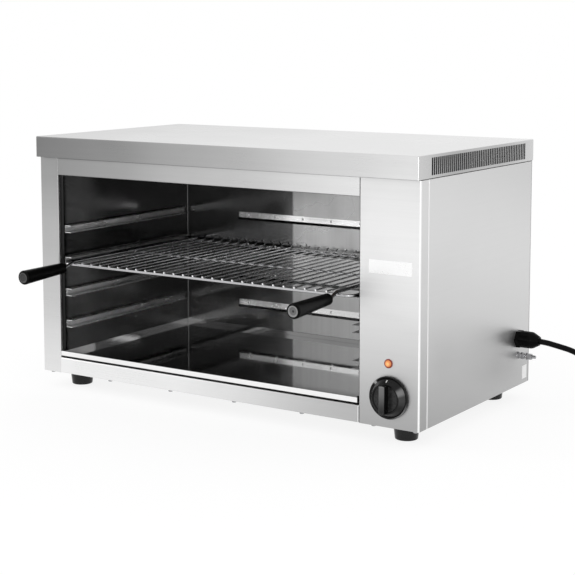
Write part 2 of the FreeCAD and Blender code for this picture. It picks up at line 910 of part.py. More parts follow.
def make_handle_end_caps():
    caps = []
    start = grip_length - grip_cap_depth
    radius = grip_cap_diameter / 2
    for side in (-1, 1):
        profile = [(start, 0), (start, radius), (grip_length, radius),
                   (grip_length, radius - grip_cap_rim),
                   (grip_length - grip_cap_dish, radius - 2 * grip_cap_rim),
                   (grip_length - grip_cap_dish, 0)]
        caps.append(turned(profile, grip_base(side), grip_heading()))
    return Part.makeCompound(caps)


def make_thermostat_body():
    front = casing_front + casing_sheet
    case = block(knob_x - thermostat_width / 2, knob_x + thermostat_width / 2,
                 front + thermostat_plate, front + thermostat_depth,
                 knob_height - thermostat_height / 2, knob_height + thermostat_height / 2)
    half_plate = thermostat_width / 2 + thermostat_plate_margin
    plate = block(knob_x - half_plate, knob_x + half_plate, front, front + thermostat_plate,
                  knob_height - thermostat_height / 4, knob_height + thermostat_height / 4)
    bore = cylinder(point(knob_x, front - cut_overrun, knob_height), Y_AXIS,
                    shaft_diameter + 2 * shaft_clearance, shaft_seat + cut_overrun + shaft_clearance)
    return fused([case, plate]).cut(bore)


def bulb_y():
    return cavity_front + element_front_margin + element_leg_pitch / 2


def bulb_height():
    return cavity_top - bulb_drop


def bulb_end():
    return point(cavity_right - bulb_wall_gap, bulb_y(), bulb_height())


def make_thermostat_bulb():
    return cylinder(bulb_end(), X_AXIS * -1, bulb_diameter, bulb_length)


def make_thermostat_capillary():
    capillary_x = casing_half - capillary_from_right
    capillary_y = casing_front + casing_sheet + thermostat_depth / 2
    rise_start = knob_height + thermostat_height / 2
    exit_x = knob_x + thermostat_width / 2 - capillary_edge
    path = [point(exit_x, capillary_y, rise_start),
            point(exit_x, capillary_y, rise_start + capillary_bend),
            point(capillary_x, capillary_y, rise_start + 3 * capillary_bend),
            point(capillary_x, bulb_y(), bulb_height()),
            bulb_end()]
    return bent_rod(path, capillary_bend, capillary_diameter)


def make_thermostat_shaft():
    back = casing_front + casing_sheet + shaft_seat
    front = knob_base - knob_bore_depth
    return cylinder(point(knob_x, front, knob_height), Y_AXIS, shaft_diameter, back - front)


def make_control_knob():
    base = point(knob_x, knob_base, knob_height)
    heading = Y_AXIS * -1
    flange_radius = knob_flange_diameter / 2
    step_radius = flange_radius - knob_step
    cone_radius = knob_cone_diameter / 2
    dish_radius = knob_dish_diameter / 2
    cone_top = knob_flange_height + knob_cone_height
    profile = [(0, 0), (0, flange_radius), (knob_flange_height, flange_radius),
               (knob_flange_height, step_radius),
               (knob_flange_height - knob_step_drop, step_radius - knob_step),
               (cone_top, cone_radius), (cone_top, dish_radius),
               (cone_top - knob_dish_depth, dish_radius - knob_dish_depth),
               (cone_top - knob_dish_depth, 0)]
    radii = [0, 0, knob_flange_edge, 0, 0, knob_cone_edge, 0, 0, 0]
    body = turned(profile, base, heading, radii)
    bar_base = knob_base - cone_top + 2 * knob_dish_depth
    bar_front = knob_base - cone_top - grip_bar_height
    bar = block(knob_x - grip_bar_width / 2, knob_x + grip_bar_width / 2, bar_front, bar_base,
                knob_height - grip_bar_length / 2, knob_height + grip_bar_length / 2)
    ends = cylinder(point(knob_x, bar_front, knob_height), Y_AXIS, grip_bar_length,
                    bar_base - bar_front)
    bar = bar.common(ends)
    crest = [edge for edge in bar.Edges if edge.BoundBox.YMax < bar_front + seam]
    bar = bar.makeFillet(grip_bar_edge, crest)
    body = fused([body, bar])
    slope_radius = (step_radius - knob_step + cone_radius) / 2
    slope_depth = knob_flange_height + knob_cone_height / 2
    pointer = block(knob_x - pointer_width / 2, knob_x + pointer_width / 2,
                    -pointer_length / 2, pointer_length / 2, 0, knob_cone_height)
    tilt = 90 - slope_angle()
    pointer.translate(point(-knob_x, 0, -pointer_depth))
    pointer.rotate(point(0, 0, 0), X_AXIS, tilt)
    pointer.translate(point(knob_x, knob_base - slope_depth, knob_height + slope_radius))
    bore = cylinder(point(knob_x, knob_base - knob_bore_depth, knob_height), Y_AXIS,
                    shaft_diameter + 2 * shaft_clearance, knob_bore_depth + cut_overrun)
    return body.cut([pointer, bore])


# Angle between the knob's conical side and the panel, in degrees
def slope_angle():
    fall = knob_cone_height + knob_step_drop
    run = knob_flange_diameter / 2 - 2 * knob_step - knob_cone_diameter / 2
    return acos(run / (run ** 2 + fall ** 2) ** 0.5) * 180 / pi


def make_pilot_body():
    base = point(lamp_x, casing_front, lamp_height)
    heading = Y_AXIS * -1
    barrel = cylinder(base, Y_AXIS, lamp_barrel_diameter, lamp_barrel_length)
    bezel = turned([(0, 0), (0, lamp_bezel_diameter / 2),
                    (lamp_bezel_height, lamp_bezel_diameter / 2), (lamp_bezel_height, 0)],
                   base, heading, [0, 0, lamp_bezel_height / 2, 0])
    seat = cylinder(point(lamp_x, casing_front - lamp_bezel_height - cut_overrun, lamp_height),
                    Y_AXIS, lens_diameter + 2 * lens_clearance,
                    lamp_bezel_height + cut_overrun + lens_seat)
    return fused([barrel, bezel]).cut(seat)


def make_pilot_lens():
    base = point(lamp_x, casing_front + lens_seat, lamp_height)
    heading = Y_AXIS * -1
    full = lens_seat + lens_height
    radius = lens_diameter / 2
    profile = [(0, 0), (0, radius), (full, radius), (full, 0)]
    return turned(profile, base, heading, [0, 0, lens_height * cos(pi / 4), 0])


def make_terminal_block():
    right = side_inside - block_from_right
    left = right - block_width
    rear = casing_rear - block_from_rear
    front = rear - block_length
    top = base_top + block_height
    body = block(left, right, front, rear, base_top, top)
    pitch = block_length / block_way_count
    slots = [block(left - cut_overrun, right + cut_overrun,
                   front + pitch * way - (pitch - block_slot_width), front + pitch * way,
                   top - block_slot_depth, top + cut_overrun)
             for way in range(1, block_way_count)]
    return body.cut(slots)


def make_compartment_wiring():
    block_x = side_inside - block_from_right - block_width / 2
    block_rear = casing_rear - block_from_rear
    block_mid = block_rear - block_length / 2
    block_top = base_top + block_height
    pitch = block_length / block_way_count
    way_x = block_x - block_width / 2 + lead_diameter
    ways = [block_rear - pitch * way + pitch - block_slot_width / 2
            for way in range(1, block_way_count + 1)]
    lead_z = block_top + lead_gap
    pin_end = cavity_right + element_thread_length + element_pin_length
    legs = element_leg_places()
    bus_up = element_height + element_pin / 2 + lead_diameter / 2 + lead_gap
    bus_down = element_height - element_pin / 2 - lead_diameter / 2 - lead_gap
    bus_x = pin_end - lead_diameter
    thermostat_rear = casing_front + casing_sheet + thermostat_depth
    left_tab = knob_x - thermostat_width / 4
    right_tab = knob_x + thermostat_width / 4
    leads = [
        bent_rod([point(bus_x, legs[0] - bus_overhang, bus_up),
                  point(bus_x, legs[-1] + bus_overhang, bus_up),
                  point(bus_x, legs[-1] + bus_overhang, lead_z + block_height),
                  point(way_x, ways[0], lead_z + block_height),
                  point(way_x, ways[0], lead_z)], lead_bend, lead_diameter),
        bent_rod([point(bus_x, legs[-1], bus_down),
                  point(bus_x, legs[0], bus_down),
                  point(bus_x, legs[0], knob_height),
                  point(left_tab, legs[0], knob_height),
                  point(left_tab, thermostat_rear + lead_gap, knob_height)],
                 lead_bend, lead_diameter),
        bent_rod([point(right_tab, thermostat_rear + lead_gap, knob_height),
                  point(right_tab, block_mid - block_length, knob_height),
                  point(block_x, ways[-1], knob_height),
                  point(block_x, ways[-1], lead_z)], lead_bend, lead_diameter),
    ]
    gland_end = side_inside - gland_inner_length - lead_gap
    for way, step in ((ways[1], -1), (ways[2], 0), (ways[3], 1)):
        shift = step * lead_diameter
        start = point(gland_end, gland_y - shift, gland_height + shift)
        leads.append(bent_rod([start,
                               start - X_AXIS * 2 * lead_bend,
                               point(block_x, way, start.z),
                               point(block_x, way, lead_z)],
                              lead_bend, lead_diameter))
    return Part.makeCompound(leads)


def make_cord_gland():
    inner_end = side_inside - gland_inner_length
    thread = cylinder(point(inner_end, gland_y, gland_height), X_AXIS, gland_thread,
                      casing_half - inner_end)
    flange = hexagon_prism(point(casing_half, gland_y, gland_height), X_AXIS,
                           gland_across_flats, gland_flange_length)
    bore = cylinder(point(inner_end - cut_overrun, gland_y, gland_height), X_AXIS, gland_bore,
                    gland_mouth - inner_end)
    return fused([thread, flange]).cut(bore)


def make_gland_dome_nut():
    base = point(casing_half + gland_flange_length, gland_y, gland_height)
    radius = gland_nut_diameter / 2
    straight = gland_nut_length - gland_nut_dome
    profile = [(0, gland_bore / 2), (0, radius), (straight, radius),
               (gland_nut_length, gland_nut_mouth / 2), (gland_nut_length, gland_bore / 2)]
    nut = turned(profile, base, X_AXIS, [0, 0, gland_nut_dome, 0, 0])
    ribs = []
    for number in range(gland_rib_count):
        angle = 2 * pi * number / gland_rib_count
        centre = base + Y_AXIS * (radius * cos(angle)) + Z_AXIS * (radius * sin(angle))
        ribs.append(cylinder(centre + X_AXIS * gland_rib_radius, X_AXIS, 2 * gland_rib_radius,
                             gland_rib_length))
    return nut.cut(ribs)


def make_gland_locknut():
    base = point(side_inside - locknut_height, gland_y, gland_height)
    nut = hexagon_prism(base, X_AXIS, locknut_across_flats, locknut_height)
    bore = cylinder(base - X_AXIS * cut_overrun, X_AXIS, gland_thread + 2 * stud_nut_clearance,
                    locknut_height + 2 * cut_overrun)
    return nut.cut(bore)


# Where the nuts sit the stud has its thread's pitch diameter, and its free end the full one
def make_earth_stud():
    start = side_inside - stud_inner_length
    held = cylinder(point(start, stud_y, stud_height), X_AXIS, stud_pitch_diameter,
                    stud_end_start - start)
    free = cylinder(point(stud_end_start, stud_y, stud_height), X_AXIS, stud_diameter,
                    casing_half + stud_reach - stud_end_start)
    return fused([held, free])


def make_earth_nuts():
    nuts = []

    def stack(start, pieces):
        for kind, height in pieces:
            base = point(start, stud_y, stud_height)
            if kind == "nut":
                solid = hexagon_prism(base, X_AXIS, stud_nut_across_flats, height)
            else:
                solid = cylinder(base, X_AXIS, stud_washer_diameter, height)
            bore = cylinder(base - X_AXIS * cut_overrun, X_AXIS,
                            stud_pitch_diameter + 2 * stud_nut_clearance,
                            height + 2 * cut_overrun)
            nuts.append(solid.cut(bore))
            start += height
        return start

    stack(side_inside - stud_nut_height, [("nut", stud_nut_height)])
    clamp_end = stack(casing_half, [("washer", stud_washer_height), ("nut", stud_nut_height),
                                    ("washer", stud_washer_height), ("nut", stud_nut_height)])
    stack(clamp_end + stud_terminal_gap, [("washer", stud_washer_height),
                                          ("nut", stud_tall_nut_height)])
    return Part.makeCompound(nuts)


def foot_places():
    left = -casing_half + foot_side_inset
    front = casing_front + foot_front_inset
    rear = casing_rear - foot_rear_inset
    return {"foot_front_left": (left, front), "foot_front_right": (-left, front),
            "foot_rear_left": (left, rear), "foot_rear_right": (-left, rear)}


def make_foot(place):
    bore_radius = foot_screw / 2 + screw_clearance
    counter_radius = foot_screw_head / 2 / cos(pi / 6) + foot_head_clearance
    profile = [(0, counter_radius), (0, foot_bottom_diameter / 2),
               (foot_height, foot_top_diameter / 2), (foot_height, bore_radius),
               (foot_counterbore_depth, bore_radius), (foot_counterbore_depth, counter_radius)]
    radii = [0, foot_edge, foot_edge, 0, 0, 0]
    return turned(profile, point(place[0], place[1], 0), Z_AXIS, radii)


def front_screw_places():
    first = -casing_half + front_screw_first
    places = [first + front_screw_pitch * number for number in range(front_screw_count)]
    places.append(casing_half - front_screw_last)
    return places


def rear_screw_places():
    low = casing_base + rear_screw_margin
    high = side_top - rear_screw_margin
    step = (high - low) / (rear_screw_count - 1)
    return [(side * (casing_half - rear_screw_inset), low + step * number)
            for side in (-1, 1) for number in range(rear_screw_count)]


# Clearance holes for every screw of the casing and the feet
def drilled(panel):
    hole = screw_diameter + 2 * screw_clearance
    front_y = casing_front + front_screw_inset
    holes = [cylinder(point(x, front_y, casing_base - cut_overrun), Z_AXIS, hole,
                      base_top - casing_base + 2 * cut_overrun) for x in front_screw_places()]
    holes += [cylinder(point(x, casing_rear + cut_overrun, z), Y_AXIS * -1, hole,
                       2 * casing_sheet + 2 * cut_overrun) for x, z in rear_screw_places()]
    holes += [cylinder(point(x, y, casing_base - cut_overrun), Z_AXIS,
                       foot_screw + 2 * screw_clearance,
                       base_top - casing_base + 2 * cut_overrun)
              for x, y in foot_places().values()]
    return panel.cut(holes)


def pan_head_screw(base, heading):
    profile = [(-screw_head_height, 0), (-screw_head_height, screw_head / 2), (0, screw_head / 2),
               (0, screw_diameter / 2), (screw_length, screw_diameter / 2), (screw_length, 0)]
    return turned(profile, base, heading, [0, screw_head_edge, 0, 0, 0, 0])


def make_casing_screws():
    front_y = casing_front + front_screw_inset
    screws = [pan_head_screw(point(x, front_y, casing_base), Z_AXIS) for x in front_screw_places()]
    screws += [pan_head_screw(point(x, casing_rear, z), Y_AXIS * -1)
               for x, z in rear_screw_places()]
    for x, y in foot_places().values():
        seat = point(x, y, foot_counterbore_depth)
        head_start = seat - Z_AXIS * foot_screw_head_height
        head = hexagon_prism(head_start, Z_AXIS, foot_screw_head, foot_screw_head_height)
        shank = cylinder(seat, Z_AXIS, foot_screw,
                         base_top + foot_screw_reach - foot_counterbore_depth)
        screws.append(fused([head, shank]))
        nut_base = point(x, y, base_top)
        nut = hexagon_prism(nut_base, Z_AXIS, foot_nut_across_flats, foot_nut_height)
        bore = cylinder(nut_base - Z_AXIS * cut_overrun, Z_AXIS,
                        foot_screw + 2 * stud_nut_clearance, foot_nut_height + 2 * cut_overrun)
        screws.append(nut.cut(bore))
    return Part.makeCompound(screws)


def placed_cord_points(points):
    return [point(gland_mouth + x, gland_y + y, z) for x, y, z in points]


# Largest arc that fits at each inner point of a cord's route
def cord_radii(points, label):
    radii = [0]
    for before, here, after in zip(points, points[1:], points[2:]):
        arriving = here - before
        leaving = after - here
        shorter = min(arriving.Length, leaving.Length)
        turn = arriving.getAngle(leaving)
        radii.append(cord_arc_share * shorter / tan(turn / 2))
    print(label, "radii", [round(radius) for radius in radii[1:]])
    return radii + [0]


def make_cord_stretch(points, label):
    places = placed_cord_points(points)
    edges = rounded_edges(places, cord_radii(places, label))
    length = sum(edge.Length for edge in edges)
    tube = swept(edges, cord_diameter)
    ideal = pi * cord_diameter ** 2 / 4 * length
    print(label, "length", round(length, 1), "volume share", round(tube.Volume / ideal, 5))
    return tube


# Coil: the turns spiral in on the lower layer, climb in half a turn and spiral out
def coil_centre():
    entry = placed_cord_points(cord_points)[-1]
    return point(entry.x + coil_outer_radius, entry.y + cord_diameter, entry.z)


def coil_angle(turn):
    return pi - 2 * pi * turn


def coil_place(turn):
    centre = coil_centre()
    radius = coil_outer_radius - coil_pitch * min(turn, coil_turns - turn)
    share = (turn - coil_turns / 2) / climb_share + 1 / 2
    share = max(0.0, min(1.0, share))
    rise = share ** 2 * (3 - 2 * share)
    return point(centre.x + radius * cos(coil_angle(turn)),
                 centre.y + radius * sin(coil_angle(turn)),
                 centre.z + coil_pitch * rise)


def coil_heading(turn):
    if turn in (0, coil_turns):
        return point(sin(coil_angle(turn)), -cos(coil_angle(turn)), 0)
    step = heading_step_share
    return (coil_place(turn + step) - coil_place(turn - step)).normalize()


# Arc that leaves a point along its heading and ends at another point
def heading_arc(start, heading, end):
    chord = end - start
    along = chord.normalize()
    span = (end - start).Length
    angle = heading.getAngle(along)
    bulge = (heading - along * heading.dot(along)).normalize()
    middle = (start + end) * (1 / 2) + bulge * (span / 2 * tan(angle / 2))
    return Part.Arc(start, middle, end).toShape()


# Pair of arcs that joins two points with their headings
def biarc(start, start_heading, end, end_heading):
    gap = end - start
    total = start_heading + end_heading
    slack = 2 * (1 - start_heading.dot(end_heading))
    lean = gap.dot(total)
    reach = (-lean + (lean ** 2 + slack * gap.dot(gap)) ** 0.5) / slack
    first_corner = start + start_heading * reach
    second_corner = end - end_heading * reach
    joint = (first_corner + second_corner) * (1 / 2)
    joint_heading = (second_corner - first_corner).normalize()
    return [heading_arc(start, start_heading, joint), heading_arc(joint, joint_heading, end)]


def make_cord_coil():
    lead_in = coil_place(0) - coil_heading(0) * cord_diameter
    edges = [Part.LineSegment(lead_in, coil_place(0)).toShape()]
    count = int(coil_turns * coil_samples_per_turn)
    for number in range(count):
        turn = number / coil_samples_per_turn
        following = (number + 1) / coil_samples_per_turn
        edges += biarc(coil_place(turn), coil_heading(turn),
                       coil_place(following), coil_heading(following))
    lead_out = coil_place(coil_turns) + coil_heading(coil_turns) * cord_diameter
    edges.append(Part.LineSegment(coil_place(coil_turns), lead_out).toShape())
    coil = swept(edges, cord_diameter)
    length = sum(edge.Length for edge in edges)
    ideal = pi * cord_diameter ** 2 / 4 * length
    print("coil length", round(length, 1), "volume share", round(coil.Volume / ideal, 5))
    print("coil least gap to itself", round(least_self_gap(edges), 2))
    return coil


# Least gap between stretches of the coil that lie a turn or more apart
def least_self_gap(edges):
    places = []
    run = 0.0
    for edge in edges:
        count = max(2, int(edge.Length / gap_sample_length))
        for step in range(count):
            share = step / count
            parameter = edge.FirstParameter + (edge.LastParameter - edge.FirstParameter) * share
            places.append((run + edge.Length * share, edge.valueAt(parameter)))
        run += edge.Length
    apart = pi * coil_outer_radius / 2
    least = min((first[1] - second[1]).Length
                for number, first in enumerate(places)
                for second in places[number + 1:]
                if second[0] - first[0] > apart)
    return least - cord_diameter


def make_cord_tie():
    centre = coil_centre()
    settled = coil_outer_radius - tie_place * coil_pitch
    inner = -settled + coil_pitch + cord_diameter / 2 + tie_gap
    outer = -settled - cord_diameter / 2 - tie_gap
    low = centre.z - cord_diameter / 2 - tie_gap
    high = centre.z + coil_pitch + cord_diameter / 2 + tie_gap
    left = centre.x - tie_width / 2
    band = block(left, left + tie_width, centre.y + outer - tie_sheet, centre.y + inner + tie_sheet,
                 low - tie_sheet, high + tie_sheet)
    band = rounded_along_x(band, cord_diameter / 2 + tie_gap + tie_sheet)
    hollow = block(left - cut_overrun, left + tie_width + cut_overrun,
                   centre.y + outer, centre.y + inner, low, high)
    hollow = rounded_along_x(hollow, cord_diameter / 2 + tie_gap)
    middle = centre.y + (inner + outer) / 2
    head = block(left - tie_sheet, left + tie_width + tie_sheet,
                 middle - tie_head_length / 2, middle + tie_head_length / 2,
                 high, high + tie_head_height)
    return fused([band, head]).cut(hollow)


def rounded_along_x(solid, radius):
    width = solid.BoundBox.XLength
    edges = [edge for edge in solid.Edges if edge.BoundBox.XLength > width / 2]
    return solid.makeFillet(radius, edges)


def plug_base():
    return placed_cord_points(tail_points)[-1]


def make_plug_body():
    heading = Y_AXIS * -1
    body_start = plug_sleeve_length
    full = plug_sleeve_length + plug_body_length
    radius = plug_body_diameter / 2
    profile = [(0, 0), (0, plug_sleeve_start / 2), (body_start, plug_sleeve_end / 2),
               (body_start + plug_shoulder, radius), (full, radius), (full, 0)]
    radii = [0, cord_diameter / 4, plug_shoulder / 2, plug_shoulder / 2, plug_face_edge, 0]
    body = turned(profile, plug_base(), heading, radii)
    base = plug_base()
    slab = block(base.x - radius - cut_overrun, base.x + radius + cut_overrun,
                 base.y - full - cut_overrun, base.y + cut_overrun,
                 base.z - plug_flat_height / 2, base.z + plug_flat_height / 2)
    holes = [cylinder(place, Y_AXIS, plug_pin_diameter, plug_pin_seat + plug_pin_length)
             for place in pin_places()]
    return body.common(slab).cut(holes)


def pin_places():
    base = plug_base()
    tip = base.y - plug_sleeve_length - plug_body_length - plug_pin_length
    return [point(base.x + side * plug_pin_spacing / 2, tip, base.z) for side in (-1, 1)]


def make_plug_pins():
    pins = []
    for place in pin_places():
        radius = plug_pin_diameter / 2
        full = plug_pin_seat + plug_pin_length
        profile = [(0, 0), (0, radius), (full, radius), (full, 0)]
        pins.append(turned(profile, place, Y_AXIS, [0, radius / 2, 0, 0]))
    return Part.makeCompound(pins)


def make_nodes():
    nodes = {
        "top_cover": make_top_cover(),
        "left_side_panel": make_left_side_panel(),
        "right_side_panel": make_right_side_panel(),
        "control_panel": make_control_panel(),
        "front_header": make_front_header(),
        "bottom_rail": make_bottom_rail(),
        "rear_panel": make_rear_panel(),
        "base_panel": make_base_panel(),
        "cavity_floor": make_cavity_floor(),
        "cavity_liner": make_cavity_liner(),
        "cavity_roof": make_cavity_roof(),
    }
    for level in range(1, level_count + 1):
        nodes[f"left_runner_{level}"] = make_runner(level, -1)
        nodes[f"right_runner_{level}"] = make_runner(level, 1)
        nodes[f"rear_rail_{level}"] = make_rear_rail(level)
    for number in range(element_count):
        nodes[f"heating_element_{number + 1}"] = make_heating_element(number)
    nodes.update({
        "element_nuts": make_element_nuts(),
        "element_hangers": make_element_hangers(),
        "crumb_tray": make_crumb_tray(),
        "rack_frame": make_rack_frame(),
        "rack_wires": make_rack_wires(),
        "handle_rods": make_handle_rods(),
        "handle_grip_left": make_handle_grip(-1),
        "handle_grip_right": make_handle_grip(1),
        "handle_end_caps": make_handle_end_caps(),
        "thermostat_body": make_thermostat_body(),
        "thermostat_bulb": make_thermostat_bulb(),
        "thermostat_capillary": make_thermostat_capillary(),
        "thermostat_shaft": make_thermostat_shaft(),
        "control_knob": make_control_knob(),
        "pilot_body": make_pilot_body(),
        "pilot_lens": make_pilot_lens(),
        "terminal_block": make_terminal_block(),
        "compartment_wiring": make_compartment_wiring(),
        "cord_gland": make_cord_gland(),
        "gland_dome_nut": make_gland_dome_nut(),
        "gland_locknut": make_gland_locknut(),
        "earth_stud": make_earth_stud(),
        "earth_nuts": make_earth_nuts(),
    })
    for name, place in foot_places().items():
        nodes[name] = make_foot(place)
    nodes.update({
        "casing_screws": make_casing_screws(),
        "power_cord": make_cord_stretch(cord_points, "cord"),
        "cord_coil": make_cord_coil(),
        "cord_tie": make_cord_tie(),
        "cord_tail": make_cord_stretch(tail_points, "tail"),
        "plug_body": make_plug_body(),
        "plug_pins": make_plug_pins(),
    })
    return nodes


os.makedirs("parts", exist_ok=True)
for node_name, shape in make_nodes().items():
    shape.translate(point(-origin_x, -origin_y, 0))
    shape.exportStep(f"parts/{node_name}.step")
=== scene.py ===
from math import cos, pi, radians, sin

import bmesh
import bpy
from bpy.props import FloatProperty, FloatVectorProperty, IntProperty, PointerProperty
from mathutils import Matrix, Vector


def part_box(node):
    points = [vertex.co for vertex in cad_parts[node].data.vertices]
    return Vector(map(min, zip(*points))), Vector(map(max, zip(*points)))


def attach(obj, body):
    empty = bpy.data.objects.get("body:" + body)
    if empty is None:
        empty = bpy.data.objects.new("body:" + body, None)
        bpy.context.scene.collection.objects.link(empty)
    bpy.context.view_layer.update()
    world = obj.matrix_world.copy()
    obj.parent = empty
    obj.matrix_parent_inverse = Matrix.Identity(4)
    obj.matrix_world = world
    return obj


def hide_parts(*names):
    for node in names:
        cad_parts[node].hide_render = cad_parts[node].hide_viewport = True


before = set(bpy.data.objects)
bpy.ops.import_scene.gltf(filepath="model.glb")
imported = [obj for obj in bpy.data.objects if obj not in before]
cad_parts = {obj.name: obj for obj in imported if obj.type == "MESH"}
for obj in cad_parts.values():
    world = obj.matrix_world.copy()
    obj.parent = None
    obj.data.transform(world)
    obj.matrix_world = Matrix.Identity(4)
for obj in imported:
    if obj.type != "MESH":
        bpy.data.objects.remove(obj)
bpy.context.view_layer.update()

bl_info = {
    "name": "Cheese melter",
    "version": (1, 0, 0),
    "blender": (4, 5, 0),
    "location": "View3D > Sidebar > Melter",
    "description": "Finishes, fittings, cord and stage for a cheese melter",
    "category": "Object",
}

CASING = "casing"
RACK = "rack"
KNOB = "knob"
MM = 0.001
RIGHT = (1, 0, 0)
LEFT = (-1, 0, 0)
BACK = (0, 1, 0)
FRONT = (0, -1, 0)
UP = (0, 0, 1)


# Sizes and colours that a user would change

def colour(label, description, value):
    return FloatVectorProperty(name=label, description=description, default=value, size=3,
                               min=0, max=1, subtype="COLOR")


def grey(label, description, level):
    return colour(label, description, (level, level, level))


def length(label, description, value):
    return FloatProperty(name=label, description=description, default=value, unit="LENGTH")


def point(label, description, value):
    return FloatVectorProperty(name=label, description=description, default=value, size=3,
                               subtype="TRANSLATION")


def bearing(label, description, value):
    return FloatProperty(name=label, description=description, default=value, subtype="ANGLE")


def amount(label, description, value, subtype="NONE"):
    return FloatProperty(name=label, description=description, default=value, min=0,
                         subtype=subtype)


def tally(label, description, value):
    return IntProperty(name=label, description=description, default=value, min=2)


class MELTER_PG_view(bpy.types.PropertyGroup):
    place: point("Camera place", "Where the camera stands", (1.4476, -2.151, 0.6615))
    turn: bearing("Turn", "Turn about the vertical", radians(33.294))
    tilt: bearing("Tilt", "Downward tilt of the camera", radians(6.28))
    lens: amount("Lens", "Focal length in millimetres", 91.557)
    shift: FloatProperty(name="Shift", description="Vertical shift as a share of the frame",
                         default=-0.165)


class MELTER_PG_stage(bpy.types.PropertyGroup):
    room_level: amount("Room level", "Even light from all sides", 0.8)
    left_power: amount("Left lamp", "Power, at the left", 9.0, "POWER")
    left_place: point("Left lamp place", "Where it stands", (-2.4, -1.3, 1.0))
    left_aim: point("Left lamp aim", "What it points at", (0.2, -0.1, 0.15))
    left_size: length("Left lamp size", "Side of the left lamp", 0.4)
    front_power: amount("Front lamp", "Power, beside the camera", 7.0, "POWER")
    front_place: point("Front lamp place", "Where it stands", (1.5, -2.4, 0.35))
    front_aim: point("Front lamp aim", "What it points at", (0.3, -0.1, 0.15))
    front_size: length("Front lamp size", "Side of the front lamp", 0.26)
    floor_size: length("Floor size", "Side of the pale floor", 30.0)
    floor_drop: length("Floor drop", "Gap between the feet and the floor", 0.0005)
    floor_grey: grey("Floor grey", "Floor in even light", 0.20)
    floor_glow: amount("Floor glow", "How far the floor is lifted to white", 0.84)


class MELTER_PG_steel(bpy.types.PropertyGroup):
    sheet: grey("Sheet steel", "Casing where it is brightest", 0.90)
    # Dark and pale liner are painted reflection: dark at the left of the back wall, pale at the
    # right
    liner_dark: grey("Dark liner", "Liner at the left of the cavity", 0.12)
    liner_pale: grey("Pale liner", "Liner at the right of the cavity", 0.47)
    runner: grey("Runner steel", "Runners on the cavity walls", 0.80)
    rail: grey("Rail steel", "Rails on the back of the cavity", 0.98)
    tray: grey("Tray steel", "Polished crumb tray", 0.50)
    # Rod and wire are one chrome: the darker rods and paler wires are painted shade and light
    rod: colour("Rod chrome", "Plated rods of the rack frame", (0.50, 0.50, 0.51))
    wire: colour("Wire chrome", "Plated wires of the rack", (0.95, 0.95, 0.96))
    zinc: colour("Zinc", "Plated fasteners", (0.38, 0.38, 0.39))
    rivet: grey("Rivet steel", "Heads of the rail rivets", 0.85)
    weld: grey("Weld chrome", "Weld beads of the rack", 0.58)
    pin: colour("Pin metal", "Pins of the plug", (0.70, 0.68, 0.62))
    copper: colour("Copper", "Capillary and bulb", (0.62, 0.30, 0.17))
    copper_stain: colour("Copper stain", "Dark places of the copper", (0.25, 0.12, 0.07))
    sheath_brown: colour("Sheath brown", "Warm tint of the elements", (0.10, 0.085, 0.075))
    sheath_blue: colour("Sheath blue", "Cool tint of the elements", (0.085, 0.09, 0.105))
    streaks: amount("Streaks", "Strength of the brushed streaks", 0.016)


